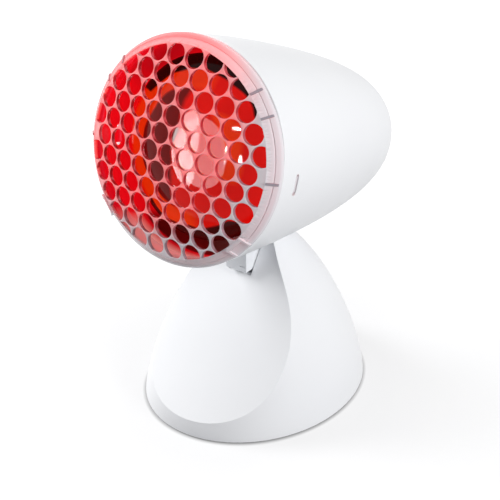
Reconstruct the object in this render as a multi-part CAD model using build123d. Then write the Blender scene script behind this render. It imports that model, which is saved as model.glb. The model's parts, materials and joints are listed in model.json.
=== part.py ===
from build123d import *
import os
from math import cos, degrees, radians, sin, sqrt, tan

# Infrared heat lamp: an egg-shaped head with a domed guard, tilting on a hood-shaped stand.
# Millimetres and degrees. +Z is up and the lamp shines towards -Y.
# Stand pieces are drawn on the floor under the middle of the hood. Head pieces are drawn on the
# middle of the head's rim, with +Y towards the tail, and then put in place by the head's tilt.

# ---------------------------------------------------------------- stand: hood
foot_half_width = 60.9
foot_half_depth = 72.2
hood_rise = 17.7
hood_flare = 1.37
hood_taper = 1.6
hood_wall = 2.5
hood_lift = 1.0
hood_sections = 10

# sloping front of the hood: its middle line leans back, its bend turns from proud to hollow
face_start = -78.5
face_lean = 0.8365
face_sag = 0.00037
face_proud = 0.0149
face_hollow = 0.0646
face_hollow_power = 6.65

# ---------------------------------------------------------------- head: shell
rim_radius = 58.1
egg_length = 175.4
egg_fullness = 1.236
egg_bluntness = 3.727
egg_droop = 1.53
head_wall = 2.2
rim_back = 61.6
belly_rise = 19.4
rest_tilt = 12.7
belly_gap = 0.8

window_length = 11.0
window_width = 3.0
window_setback = 14.0
window_drop = 5.0

vent_width = 2.4
vent_length = 26.0
vent_pitch = 6.0
vent_count = 7
vent_setback = 118.0

# ---------------------------------------------------------------- guard
guard_depth = 15.3
guard_sphere = 185.3
guard_thickness = 2.4
ring_width = 4.9
hole_pitch = 11.0
hole_diameter = 10.2
sliver_reach = 2.3
spigot_depth = 4.5
spigot_wall = 1.6
spigot_clearance = 0.4
ring_edge = 2.3
ring_bevel = 1.0
groove_inset = 2.1
groove_width = 0.9
rib_angles = (43.5, 30.0, -2.5)
rib_thickness = 1.0
rib_rise = 0.6
flat_depth = 0.5
lug_angle = -42.0
lug_width = 11.0
lug_rise = 1.5
lug_wall = 1.2
clip_width = 8.0
clip_thickness = 1.5
clip_barb = 1.5

# ---------------------------------------------------------------- bulb, E27 reflector type
bulb_setback = 14.0
bulb_diameter = 95.0
bulb_length = 136.0
bulb_crown = 18.0
bulb_front_sphere = 76.0
glass_thickness = 1.2
coating_thickness = 0.3
bulb_neck_radius = 18.0
bulb_taper = 13.0
cap_radius = 13.2
cap_length = 24.0
cap_thickness = 0.5
contact_radius = 4.5
contact_height = 1.8

# ---------------------------------------------------------------- lampholder
holder_radius = 19.5
holder_length = 33.0
holder_floor = 7.0
sleeve_clearance = 0.35
sleeve_thickness = 0.5
bracket_thickness = 1.2
bracket_width = 15.0
bracket_half_length = 29.0
bracket_screw_offset = 24.5
holder_screw_offset = 11.0

# ---------------------------------------------------------------- tilt joint
pivot_back = 18.0
pivot_height = 88.0
pin_diameter = 5.0
pin_length = 27.0
pin_running_clearance = 0.05
tilt_steps = 4
tilt_step = 8.0
neck_width = 13.6
neck_clearance = 0.6
neck_back_clearance = 3.0
seat_clearance = 0.05
neck_wall = 2.2
neck_front = 19.5
neck_drop = 8.0
neck_top_rise = 32.0
tongue_thickness = 3.5
drum_radius = 30.0
drum_start = 150.0
drum_end = 295.0
hub_radius = 7.0
collar_margin = 4.0
seat_height = 18.1
plate_thickness = 1.5
plate_margin = 5.5
neck_screw_spread = 14.5
screw_inset = 5.0

lug_thickness = 6.0
lug_half_depth = 9.0
lug_drop = 10.0
cap_plate = 2.5

spring_thickness = 0.5
spring_width = 6.0
spring_gap = 0.2
spring_tail = 3.5
spring_screw_inset = 6.0
detent_angle = 255.0
detent_radius = 1.6
detent_depth = 0.7
shelf_drop = 4.0
shelf_gap = 8.0
shelf_length = 40.0
shelf_thickness = 8.0
shelf_margin = 2.0

# ---------------------------------------------------------------- underside
bottom_thickness = 2.0
bottom_recess = 0.4
bottom_clearance = 0.3
boss_radius = 4.0
boss_height = 56.0
boss_bore = 12.0
boss_places = ((36.0, 30.0), (-36.0, 30.0), (34.0, -38.0), (-34.0, -38.0))
foot_radius = 7.0
foot_height = 2.0
foot_places = ((26.0, 45.0), (-26.0, 45.0), (25.0, -50.0), (-25.0, -50.0))
ballast_half_width = 27.0
ballast_half_depth = 24.0
ballast_thickness = 4.0
ballast_screw_offset = 19.0

inlet_height = 14.0
inlet_bore_radius = 3.1
bush_radius = 5.5
bush_flange_radius = 7.5
bush_flange = 1.6
bush_lift = 0.3
bush_reach = 7.0
bush_clearance = 0.05

block_size = (18.0, 20.0, 13.0)
block_back = 38.0

# ---------------------------------------------------------------- fasteners and wires
screw_radius = 1.5
screw_head_radius = 2.9
screw_head_height = 1.9
short_screw = 6.0
long_screw = 9.0
bottom_screw = 10.0
sink_clearance = 0.05
wire_radius = 1.1

far = 400.0
full_turn = 360.0
tilt_range = tilt_steps * tilt_step
hood_height = pivot_height + hood_rise
deck_height = pivot_height
rim_height = pivot_height + belly_rise + rim_radius
seat_depth = rim_radius - seat_height
mesh_radius = rim_radius - ring_width
groove_radius = rim_radius - groove_inset
neck_bottom = pivot_height - neck_drop
neck_top = pivot_height + neck_top_rise
clip_angles = (degrees(-window_drop / rim_radius), 180.0 + degrees(window_drop / rim_radius))


def head_place():
    """Puts a piece drawn on the head's rim onto the stand, tilted as it rests."""
    return Pos(0, -rim_back, rim_height) * Rot(-rest_tilt, 0, 0)


def tilted_up(angle):
    """Turns a piece of the head about the pivot pin, nose upwards."""
    return Pos(0, pivot_back, pivot_height) * Rot(-angle, 0, 0) * Pos(0, -pivot_back, -pivot_height)


def turned(profile):
    """Revolves a closed outline of (radius, distance back) about the head's axis."""
    return revolve(make_face(profile), Axis.Y, full_turn)


def screw(length, radius=screw_radius, head=screw_head_radius):
    """Pan-head screw with its head above Z = 0 and its shank below."""
    pan = Pos(0, 0, screw_head_height / 2) * Cylinder(head, screw_head_height)
    pan = chamfer(pan.edges().group_by(Axis.Z)[-1], screw_head_height * 0.4)
    slot = Pos(0, 0, screw_head_height) * Box(2 * head, head * 0.25, screw_head_height * 0.7)
    shank = Pos(0, 0, -length / 2) * Cylinder(radius, length)
    return pan + shank - slot


# ================================================================ stand

def hood_radius(z):
    """Half width of the hood at a height above the floor."""
    return foot_half_width * (1 - (z / hood_height) ** hood_flare) ** (1 / hood_taper)


def hood_solid(inset, low, high):
    """Solid hood between two heights, drawn in from the outside by the inset."""
    sections = []
    for i in range(hood_sections):
        z = low + (high - low) * i / (hood_sections - 1)
        half = hood_radius(z)
        oval = Ellipse(half - inset, half * foot_half_depth / foot_half_width - inset)
        sections.append(Pos(0, 0, z) * oval)
    return loft(sections)


def face_line(x, z):
    """Distance back of the sloping front face at a place across and a height."""
    bend = face_hollow * (z / 100) ** face_hollow_power - face_proud
    return face_start + face_lean * z - face_sag * z * z - bend * x * x / 2


def front_cutter(shift):
    """Everything in front of the hood's sloping face, which is moved back by the shift."""
    sections = []
    for z in (0.0, 25.0, 50.0, 70.0, 84.0, 94.0, 104.0, 112.0):
        half = 78.0 - 0.45 * z
        end = face_line(half, z) + shift
        pull = 2 * (face_line(0, z) + shift) - end
        front = Bezier((-half, end), (0, pull), (half, end))
        sides = Polyline((half, end), (half, -far / 2), (-half, -far / 2), (-half, end))
        sections.append(Pos(0, 0, z) * make_face(front + sides))
    return loft(sections)


def face_shift():
    """Distance back that leaves one wall's thickness behind the sloping face."""
    return hood_wall * sqrt(1 + face_lean ** 2)


def mouth_solid(low):
    """Slot in the top of the hood that the neck swings in."""
    half = neck_width / 2 + neck_clearance
    front = -neck_front - far / 20
    back = pivot_back + hub_radius + neck_back_clearance
    size = (2 * half, back - front, far / 4)
    return Pos(0, (front + back) / 2, low + size[2] / 2) * Box(*size)


def belly_cutter():
    """Room for the head over its whole tilt."""
    swept = []
    for angle in (0.0, tilt_range / 2, tilt_range):
        swept.append(tilted_up(angle) * head_place() * egg_solid(belly_gap))
    return swept


def bearing_lugs():
    """Two cheeks under the deck that carry the pivot pin."""
    inner = neck_width / 2 + neck_clearance
    low = pivot_height - lug_drop
    height = deck_height + hood_wall / 2 - low
    cheek = Box(lug_thickness, 2 * lug_half_depth, height)
    lugs = []
    for side in (-1, 1):
        x = side * (inner + lug_thickness / 2)
        lugs.append(Pos(x, pivot_back, low + height / 2) * cheek)
    return lugs


def pin_seat():
    """Seat of the pivot pin across both cheeks, open downwards so that the pin goes in from below."""
    length = pin_length + 2 * seat_clearance
    width = pin_diameter + 2 * seat_clearance
    seat = Rot(0, 90, 0) * Cylinder(width / 2, length)
    slot = Pos(0, 0, -lug_drop / 2) * Box(length, width, lug_drop)
    return Pos(0, pivot_back, pivot_height) * (seat + slot)


def cap_screw_place(side):
    inner = neck_width / 2 + neck_clearance
    return Pos(side * (inner + lug_thickness / 2), pivot_back + (pin_diameter / 2 + lug_half_depth) / 2,
               pivot_height - lug_drop - cap_plate)


def spring_level():
    """Height of the shelf that carries the detent spring."""
    return pivot_height - drum_radius - shelf_drop


def make_base_shell():
    outer = hood_solid(0, hood_lift, hood_height - 2)
    room = hood_solid(hood_wall, hood_lift - 1, deck_height)
    room = room - front_cutter(face_shift())
    floor = ballast_base()
    bosses = []
    for x, y in boss_places:
        bosses.append(Pos(x, y, floor + boss_height / 2) * Cylinder(boss_radius, boss_height))
    shelf_back = pivot_back - drum_radius - shelf_gap
    shelf = Pos(0, shelf_back - shelf_length / 2, spring_level() - shelf_thickness / 2)
    shelf = shelf * Box(spring_width + 2 * shelf_margin, shelf_length, shelf_thickness)
    shell = outer - room
    inner_parts = bosses + [shelf] + bearing_lugs()
    shell = shell + [piece & outer for piece in inner_parts]
    shell = shell - front_cutter(0)
    shell = shell - mouth_solid(neck_bottom - 3) - pin_seat()
    for swept in belly_cutter():
        shell = shell - swept
    for x, y in boss_places:
        shell = shell - Pos(x, y, floor + boss_bore / 2) * Cylinder(screw_radius, boss_bore)
    shell = shell - inlet_place() * Cylinder(bush_radius + bush_clearance, 20)
    for side in (-1, 1):
        shell = shell - cap_screw_place(side) * Pos(0, 0, 4) * Cylinder(screw_radius, 12)
    shell = shell - spring_screw_place() * Pos(0, 0, -4) * Cylinder(screw_radius, 8)
    return shell


def inlet_place():
    """Place on the back of the hood where the cord enters, with +Z square out of the surface."""
    ratio = foot_half_depth / foot_half_width
    slope = (hood_radius(inlet_height + 1) - hood_radius(inlet_height - 1)) * ratio / 2
    back = hood_radius(inlet_height) * ratio
    return Pos(0, back, inlet_height) * Rot(-90 - degrees(slope), 0, 0)


def make_cord_bush():
    """Plain bush that lines the hole where a lead would enter."""
    length = bush_reach + bush_lift + bush_flange
    body = Pos(0, 0, bush_lift + bush_flange - length / 2) * Cylinder(bush_radius, length)
    rim = Cylinder(bush_flange_radius, bush_flange)
    outside = fillet(rim.edges().group_by(Axis.Z)[-1], bush_flange * 0.6)
    bush = body + Pos(0, 0, bush_lift + bush_flange / 2) * outside
    return inlet_place() * (bush - Cylinder(inlet_bore_radius, far / 10))


def spring_screw_place():
    back = pivot_back - drum_radius - shelf_gap - spring_screw_inset
    return Pos(0, back, spring_level() + spring_thickness)


def notch_place(step):
    """Back and height of the middle of a notch in the drum, for one step of the tilt."""
    t = radians(detent_angle + step * tilt_step)
    reach = drum_radius + detent_radius - detent_depth
    return pivot_back + reach * cos(t), pivot_height + reach * sin(t)


def make_detent_spring():
    """Leaf spring on the shelf, with a bump that rests in a notch of the neck's drum."""
    bump_y, tip = notch_place(0)
    start = spring_screw_place().position.Y - spring_tail
    level = spring_level()
    end = bump_y + 2 * detent_radius
    leaf = Pos((start + end) / 2, level + spring_thickness / 2) * Rectangle(end - start, spring_thickness)
    nose = Pos(bump_y, tip) * Circle(detent_radius)
    nose = nose + Pos(bump_y, (tip + level) / 2) * Rectangle(2 * detent_radius, tip - level)
    inner = detent_radius - spring_thickness
    hollow = Pos(bump_y, tip) * Circle(inner)
    hollow = hollow + Pos(bump_y, (tip + level) / 2) * Rectangle(2 * inner, tip - level)
    side = leaf + nose - hollow
    hole = spring_screw_place() * Cylinder(screw_radius, 4)
    return extrude(Plane.YZ * side, spring_width / 2, both=True) - hole


def make_detent_screw():
    return spring_screw_place() * screw(short_screw)


def make_bearing_caps():
    """Two caps that close the seats under the pivot pin."""
    inner = neck_width / 2 + neck_clearance
    low = pivot_height - lug_drop
    caps = []
    for side in (-1, 1):
        x = side * (inner + lug_thickness / 2)
        plate = Pos(x, pivot_back, low - cap_plate / 2) * Box(lug_thickness, 2 * lug_half_depth, cap_plate)
        height = lug_drop - pin_diameter / 2
        key = Pos(x, pivot_back, low + height / 2) * Box(lug_thickness, pin_diameter - 0.2, height)
        caps.append(plate + key - cap_screw_place(side) * Cylinder(screw_radius, far / 10))
    return Compound(children=caps)


def make_bearing_screws():
    return Compound(children=[cap_screw_place(side) * Rot(180, 0, 0) * screw(long_screw) for side in (-1, 1)])


def make_pivot_pin():
    pin = Rot(0, 90, 0) * Cylinder(pin_diameter / 2, pin_length)
    pin = chamfer(pin.edges(), 0.5)
    return Pos(0, pivot_back, pivot_height) * pin


def make_bottom_plate():
    low = hood_lift + bottom_recess
    ratio = foot_half_depth / foot_half_width
    rim = hood_radius(low + bottom_thickness)
    inset = hood_wall + bottom_clearance
    plate = extrude(Ellipse(rim - inset, rim * ratio - inset), bottom_thickness)
    plate = Pos(0, 0, low) * plate
    for x, y in boss_places:
        plate = plate - Pos(x, y, low) * Rot(180, 0, 0) * countersunk(far / 20, sink_clearance)
    for x, y in foot_places:
        plate = plate - Pos(x, y, low) * Cylinder(foot_radius, 2 * (foot_height - low))
    for side in (-1, 1):
        plate = plate - Pos(side * ballast_screw_offset, 0, low) * Cylinder(screw_radius, far / 20)
    return plate


def make_bottom_screws():
    low = hood_lift + bottom_recess
    return Compound(children=[Pos(x, y, low) * Rot(180, 0, 0) * countersunk(bottom_screw)
                              for x, y in boss_places])


def countersunk(length, grow=0.0):
    """Flat-head screw with its face at Z = 0 and its shank below, or its hole when grown."""
    depth = screw_head_radius - screw_radius
    cone = Pos(0, 0, -depth / 2) * Cone(screw_radius + grow, screw_head_radius + grow, depth)
    return cone + Pos(0, 0, -length / 2) * Cylinder(screw_radius + grow, length)


def make_rubber_feet():
    foot = Cylinder(foot_radius - 0.05, foot_height, align=(Align.CENTER, Align.CENTER, Align.MIN))
    foot = fillet(foot.edges().group_by(Axis.Z)[0], 0.6)
    return Compound(children=[Pos(x, y, 0) * foot for x, y in foot_places])


def ballast_base():
    return hood_lift + bottom_recess + bottom_thickness


def make_ballast_plate():
    low = ballast_base()
    sheet = RectangleRounded(2 * ballast_half_width, 2 * ballast_half_depth, 8)
    slab = Pos(0, 0, low) * extrude(sheet, ballast_thickness)
    for side in (-1, 1):
        slab = slab - Pos(side * ballast_screw_offset, 0, low) * Cylinder(screw_radius + 0.2, far / 20)
    return slab


def make_ballast_screws():
    low = ballast_base() + ballast_thickness
    return Compound(children=[Pos(side * ballast_screw_offset, 0, low) * screw(ballast_thickness + 1.5)
                              for side in (-1, 1)])


def make_terminal_block():
    """Two-pole block with its screw wells, on the bottom plate behind the ballast."""
    w, d, h = block_size
    block = Pos(0, block_back, ballast_base() + h / 2) * Box(w, d, h)
    block = fillet(block.edges().filter_by(Axis.Z), 1.5)
    for x in (-w / 4, w / 4):
        block = block - Pos(x, block_back, ballast_base() + h * 0.45) * Rot(90, 0, 0) * Cylinder(1.8, d * 2)
        for y in (-d / 4, d / 4):
            block = block - Pos(x, block_back + y, ballast_base() + h) * Cylinder(2.0, h * 0.8)
    return block


# ================================================================ head

def egg_radius(s, radius, length):
    return radius * (1 - (s / length) ** egg_fullness) ** (1 / egg_bluntness)


def egg_solid(grow):
    """Solid egg of the head, larger than the shell's outside by the growth."""
    radius = rim_radius + grow
    length = egg_length + grow
    curve = [(egg_radius(length * f, radius, length), length * f)
             for f in (0, 0.14, 0.3, 0.45, 0.6, 0.73, 0.84, 0.92, 0.97, 1.0)]
    flank = Spline(curve, tangents=((0, 1), (-1, 0)))
    rest = Polyline(curve[-1], (0, -4), (radius, -4), curve[0])
    return Rot(-egg_droop, 0, 0) * turned(flank + rest)


def rim_cutter():
    return Pos(0, -far / 2, 0) * Box(far, far, far)


def neck_opening(margin):
    """Opening in the belly, on the stand's frame."""
    front = -neck_front - margin
    back = pivot_back + hub_radius + margin
    middle = Pos(0, (front + back) / 2, (neck_bottom + neck_top) / 2)
    return middle * Box(neck_width + 2 * margin, back - front, neck_top - neck_bottom)


def along_seat(back):
    """Distance back on the head's seat of what stands at this distance back on the stand."""
    t = radians(rest_tilt)
    return (back + rim_back) / cos(t) + seat_depth * tan(t)


def neck_ends(margin):
    """Front and back of the neck on the head's seat, moved outwards by the margin."""
    return along_seat(-neck_front) - margin, along_seat(pivot_back + hub_radius) + margin


def neck_screw_places():
    return [(x, y) for x in (-neck_screw_spread, neck_screw_spread) for y in neck_ends(-screw_inset)]


def make_head_housing():
    outer = egg_solid(0)
    inner = egg_solid(-head_wall)
    shell = outer - inner - rim_cutter()
    posts = []
    for x, y in neck_screw_places():
        post = Pos(x, y, -seat_depth - 10) * Cylinder(3.4, 20)
        posts.append((post & outer) - Pos(x, y, -seat_depth) * Cylinder(screw_radius, 9.4))
    strap_back = holder_back() + bracket_thickness
    for side in (-1, 1):
        x = side * bracket_screw_offset
        post = Pos(x, strap_back + 20, 0) * Rot(90, 0, 0) * Cylinder(3.6, 40)
        hole = Pos(x, strap_back + 3, 0) * Rot(90, 0, 0) * Cylinder(screw_radius, 14)
        posts.append((post & outer) - hole)
    shell = shell + posts
    shell = shell - window_solids()
    for vent in vent_solids():
        shell = shell - vent
    opening = head_place().inverse() * neck_opening(0.3)
    belly = Pos(0, 80, -seat_depth - 12) * Box(far, far, 24)
    return shell - (opening & belly)


def window_solids():
    """Narrow windows in the sides that the guard's clips catch in."""
    pill = SlotOverall(window_length, window_width)
    cut = extrude(Plane.YZ * (Rot(0, 0, 90) * pill), far / 2, both=True)
    return Pos(0, window_setback, -window_drop) * cut


def vent_solids():
    """Row of vent slots in the belly and the top behind the bulb."""
    slots = []
    middle = (vent_count - 1) / 2
    for i in range(vent_count):
        y = vent_setback + (i - middle) * vent_pitch
        pill = SlotOverall(vent_length, vent_width)
        slots.append(Pos(0, y, -30) * extrude(pill, -40))
    return slots


def guard_line(r, sphere):
    """Distance back of a dome of this sphere about the guard's centre of curvature."""
    return guard_sphere - guard_depth - sqrt(sphere ** 2 - r ** 2)


def hole_places():
    """Hexagonal pattern of holes; those at the sides that would meet a clip are left out."""
    places = []
    row_pitch = hole_pitch * sqrt(3) / 2
    for row in range(-6, 7):
        for col in range(-6, 7):
            x = hole_pitch * (col + (row % 2) / 2)
            z = row_pitch * row
            r = sqrt(x * x + z * z)
            if r < mesh_radius - hole_pitch / 5 or (r < mesh_radius + sliver_reach and abs(x) < r * 0.8):
                places.append((x, z))
    return places


def make_grille():
    inside = guard_sphere - guard_thickness
    edge = guard_line(mesh_radius, guard_sphere)
    inner_radius = mesh_radius - 0.8
    inner_edge = guard_line(inner_radius, inside)
    spigot_outer = rim_radius - head_wall - spigot_clearance
    spigot_inner = spigot_outer - spigot_wall
    half = mesh_radius / 2
    dome = ThreePointArc((0, guard_line(0, guard_sphere)), (half, guard_line(half, guard_sphere)),
                         (mesh_radius, edge))
    lining = ThreePointArc((inner_radius, inner_edge), (half, guard_line(half, inside)),
                           (0, guard_line(0, inside)))
    skirt = Polyline((mesh_radius, edge), bevel_end(), (rim_radius, -ring_edge), (rim_radius, 0),
                     (spigot_outer, 0), (spigot_outer, spigot_depth), (spigot_inner, spigot_depth),
                     (spigot_inner, -ring_edge), (inner_radius, inner_edge))
    axis = Line((0, guard_line(0, inside)), (0, guard_line(0, guard_sphere)))
    guard = turned(dome + skirt + lining + axis)
    circles = Sketch() + [Pos(x, z) * Circle(hole_diameter / 2) for x, z in hole_places()]
    punches = extrude(Plane.XZ * circles, far / 10, both=True)
    well = Rot(90, 0, 0) * Cylinder(mesh_radius, far / 2)
    guard = guard - (punches & well) - ring_groove() - ring_flats()
    return guard + ring_ribs() + ring_lugs() + guard_clips()


def bevel_end():
    """Radius and distance back of the bevel's outer edge."""
    return rim_radius - 0.7, -ring_edge - ring_bevel


def bevel_line(r):
    """Distance back of the ring's bevel at a radius."""
    start = guard_line(mesh_radius, guard_sphere)
    end_radius, end = bevel_end()
    return start + (end - start) * (r - mesh_radius) / (end_radius - mesh_radius)


def both_sides(angle):
    """An angle on the guard and its mirror image."""
    return angle, 180.0 - angle


def ring_groove():
    """Shallow groove round the bevel."""
    path = Pos(0, bevel_line(groove_radius), 0) * Rot(90, 0, 0)
    return path * Torus(groove_radius, groove_width / 2)


def ring_flats():
    """Flats across the ring's edge between the first two ribs of each side."""
    flats = []
    for angle in both_sides((rib_angles[0] + rib_angles[1]) / 2):
        place = Pos(rim_radius - flat_depth + far / 2, -far / 2, 0)
        flats.append(Rot(0, -angle, 0) * place * Box(far, far, far))
    return flats


def across_bevel(inner, outer, rise, sunk, width):
    """Block on the bevel between two radii, with its top parallel to the bevel."""
    top = [(r, bevel_line(r) - rise) for r in (inner, outer)]
    foot = [(r, bevel_line(r) + sunk) for r in (outer, inner)]
    side = make_face(Polyline(*top, *foot, top[0]))
    return extrude(side, width / 2, both=True)


def ring_ribs():
    """Thin radial ribs across the bevel."""
    rib = across_bevel(mesh_radius + 0.4, rim_radius - 0.2, rib_rise, 0.5, rib_thickness)
    return [Rot(0, -turn, 0) * rib for angle in rib_angles for turn in both_sides(angle)]


def ring_lugs():
    """Raised catches across the bevel, each with a sunk middle."""
    block = across_bevel(mesh_radius + 0.6, rim_radius + 0.3, lug_rise, 0.5, lug_width)
    well = across_bevel(mesh_radius + 0.6 + lug_wall, rim_radius + 2, lug_rise + 1, -0.4, lug_width - 2 * lug_wall)
    return [Rot(0, -turn, 0) * (block - well) for turn in both_sides(lug_angle)]


def guard_clips():
    """Two arms that reach back from the spigot, each with a barb in its window."""
    clips = []
    outer = rim_radius - head_wall - spigot_clearance
    reach = window_setback + window_width / 2 - 0.4
    for angle in clip_angles:
        arm = Pos(outer - clip_thickness / 2 - 0.3, reach / 2, 0) * Box(clip_thickness, reach, clip_width)
        barb = Pos(outer - 0.3 + clip_barb / 2, window_setback, 0)
        barb = barb * Box(clip_barb, window_width - 0.8, clip_width)
        clips.append(Rot(0, -angle, 0) * (arm + barb))
    return clips


# ---------------------------------------------------------------- bulb

def bulb_front():
    return bulb_setback - guard_depth


def glass_end_radius():
    """Radius of the glass where the cap is cemented to it."""
    return cap_radius - cap_thickness - 0.2


def bulb_curve(inset):
    """Outside of the bulb's glass, drawn in by the inset, from the front to the neck."""
    y0 = bulb_front()
    half = bulb_diameter / 2 - inset
    shoulder = half * 0.8
    sphere = bulb_front_sphere - inset
    start = (0, y0 + inset)
    mid = (shoulder / 2, y0 + inset + sphere - sqrt(sphere ** 2 - shoulder ** 2 / 4))
    end = (shoulder, y0 + inset + sphere - sqrt(sphere ** 2 - shoulder ** 2))
    widest = (half, y0 + bulb_crown)
    neck = (bulb_neck_radius - inset, cap_front() - bulb_taper)
    cone = [widest, (half * 0.9, y0 + bulb_crown + 18), (half * 0.66, y0 + bulb_crown + 40), neck]
    front = ThreePointArc(start, mid, end)
    corner = Spline([end, widest], tangents=((1, shoulder / sphere), (0, 1)))
    flank = Spline(cone, tangents=((0, 1), (0, 1)))
    return front, corner, flank, neck


def bulb_part(inset, low, high):
    """Solid of the bulb's inside between two distances back."""
    front, corner, flank, neck = bulb_curve(inset)
    end = glass_end_radius() - inset
    back = cap_front() + cap_length / 4
    rest = Polyline(neck, (end, cap_front() + 0.5), (end, back), (0, back), (0, bulb_front() + inset))
    solid = turned(front + corner + flank + rest)
    keep = Pos(0, (low + high) / 2, 0) * Rot(90, 0, 0) * Cylinder(far, high - low)
    return solid & keep


def make_bulb_envelope():
    return bulb_part(0, -far, far / 2) - bulb_part(glass_thickness, -far, far / 2)


def make_reflector_coating():
    """Metallised lining of the bulb behind its widest line."""
    low = bulb_front() + bulb_crown + 1
    high = cap_front() - bulb_taper - 2
    inset = glass_thickness + 0.02
    return bulb_part(inset, low, high) - bulb_part(inset + coating_thickness, -far, far / 2)


def cap_front():
    return bulb_front() + bulb_length - cap_length - contact_height - 2


def make_bulb_cap():
    """Screw cap of the bulb, a rolled shell without its thread."""
    y = cap_front()
    tube = Pos(0, y + cap_length / 2, 0) * Rot(90, 0, 0) * Cylinder(cap_radius, cap_length)
    bore = Pos(0, y + cap_length / 2 - cap_thickness, 0) * Rot(90, 0, 0)
    bore = bore * Cylinder(cap_radius - cap_thickness, cap_length)
    tube = tube - bore
    ridges = []
    for i in range(5):
        ridges.append(Pos(0, y + 6 + i * 3.6, 0) * Rot(90, 0, 0) * Torus(cap_radius - 0.05, 0.3))
    skirt = Pos(0, y + 1.5, 0) * Rot(90, 0, 0) * Cylinder(cap_radius + 0.6, 3)
    skirt = skirt - Pos(0, y + 1.5, 0) * Rot(90, 0, 0) * Cylinder(cap_radius - cap_thickness, 4)
    return tube + skirt + ridges


def make_bulb_insulator():
    y = cap_front() + cap_length
    outline = Polyline((contact_radius * 0.5, y + contact_height), (cap_radius * 0.45, y + contact_height * 0.8),
                       (cap_radius * 0.8, y), (contact_radius * 0.5, y), (contact_radius * 0.5, y + contact_height))
    return turned(outline)


def make_bulb_contact():
    y = cap_front() + cap_length
    pad = Pos(0, y + contact_height, 0) * Rot(90, 0, 0) * Cylinder(contact_radius * 0.9, 0.8)
    stalk = Pos(0, y + contact_height / 2, 0) * Rot(90, 0, 0) * Cylinder(contact_radius * 0.5, contact_height)
    return Pos(0, 0.4, 0) * pad + stalk


def make_bulb_stem():
    """Glass stem with its pinch, from the neck to the filament."""
    y1 = cap_front() + 2
    y0 = pinch_front()
    tube = Pos(0, (y0 + y1) / 2 + 2, 0) * Rot(90, 0, 0) * Cylinder(4.0, y1 - y0 - 4)
    pinch = Pos(0, y0 + 4, 0) * Box(9, 8, 3.5)
    flare = Pos(0, y1 - 3, 0) * Rot(90, 0, 0) * Cone(glass_end_radius() - glass_thickness, 4.2, 6)
    return tube + pinch + flare


def pinch_front():
    return bulb_front() + 58


def filament_front():
    return bulb_front() + 42


def make_filament():
    """Coiled filament, drawn as its outer envelope in an arc across the focus."""
    y = filament_front()
    path = ThreePointArc((-9, y, 0), (0, y, 7), (9, y, 0))
    return sweep(Plane(origin=path @ 0, z_dir=path % 0) * Circle(0.8), path)


def make_filament_supports():
    """Two lead-in wires from the pinch to the filament's ends."""
    supports = []
    y0 = filament_front() - 0.4
    y1 = pinch_front() - 0.1
    for side in (-1, 1):
        a = Vector(side * 9.0, y0, -1.2)
        b = Vector(side * 3.0, y1, 0)
        d = b - a
        rod = Plane(origin=a, z_dir=d) * Pos(0, 0, d.length / 2) * Cylinder(0.4, d.length)
        supports.append(rod)
    return Compound(children=supports)


# ---------------------------------------------------------------- lampholder

def holder_back():
    return cap_front() + cap_length + contact_height + holder_floor + 1.6


def make_lampholder_body():
    """Ceramic E27 lampholder, open to the front."""
    y1 = holder_back()
    y0 = y1 - holder_length
    inside = cap_radius + sleeve_clearance + sleeve_thickness + 0.5
    body = Pos(0, (y0 + y1) / 2, 0) * Rot(90, 0, 0) * Cylinder(holder_radius, holder_length)
    body = chamfer(body.edges(), 1.2)
    well = Pos(0, (y0 + y1) / 2 - holder_floor, 0) * Rot(90, 0, 0) * Cylinder(inside, holder_length)
    body = body - well
    for side in (-1, 1):
        hole = Pos(side * holder_screw_offset, y1 - 2, 0) * Rot(90, 0, 0) * Cylinder(screw_radius, 8)
        wire = Pos(side * 6.0, y1 - 3, -holder_radius) * Cylinder(wire_radius + 0.4, 10)
        body = body - hole - wire
    return body


def make_lampholder_sleeve():
    y1 = holder_back() - holder_floor
    length = cap_length - 2
    outer = cap_radius + sleeve_clearance + sleeve_thickness + 0.45
    inner = cap_radius + sleeve_clearance
    ring = Cylinder(outer, length) - Cylinder(inner, length * 2)
    return Pos(0, y1 - length / 2 - 0.1, 0) * Rot(90, 0, 0) * ring


def make_lampholder_contact():
    """Spring tongue that presses on the bulb's centre contact."""
    y1 = holder_back() - holder_floor
    tip = cap_front() + cap_length + contact_height + 0.85
    tongue = Pos(0, (tip + y1) / 2, 0) * Box(5, y1 - tip, 8)
    inner = Pos(0, (tip + y1) / 2 + 0.4, 0) * Box(far / 10, y1 - tip - 0.6, 6.8)
    return tongue - inner


def make_lampholder_bracket():
    """Steel strap across the back of the lampholder, screwed to the shell's posts."""
    y = holder_back()
    strap = extrude(Plane.XZ * SlotOverall(2 * bracket_half_length, bracket_width), -bracket_thickness)
    strap = Pos(0, y, 0) * strap
    for x in (bracket_screw_offset, holder_screw_offset):
        for side in (-1, 1):
            strap = strap - Pos(side * x, y, 0) * Rot(90, 0, 0) * Cylinder(screw_radius, far / 20)
    return strap


def make_bracket_screws():
    y = holder_back()
    return Compound(children=[Pos(side * bracket_screw_offset, y, 0) * Rot(90, 0, 0) * screw(long_screw)
                              for side in (-1, 1)])


def make_holder_screws():
    y = holder_back() + bracket_thickness
    return Compound(children=[Pos(side * holder_screw_offset, y, 0) * Rot(-90, 0, 0) * screw(short_screw)
                              for side in (-1, 1)])


# ---------------------------------------------------------------- neck

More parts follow.
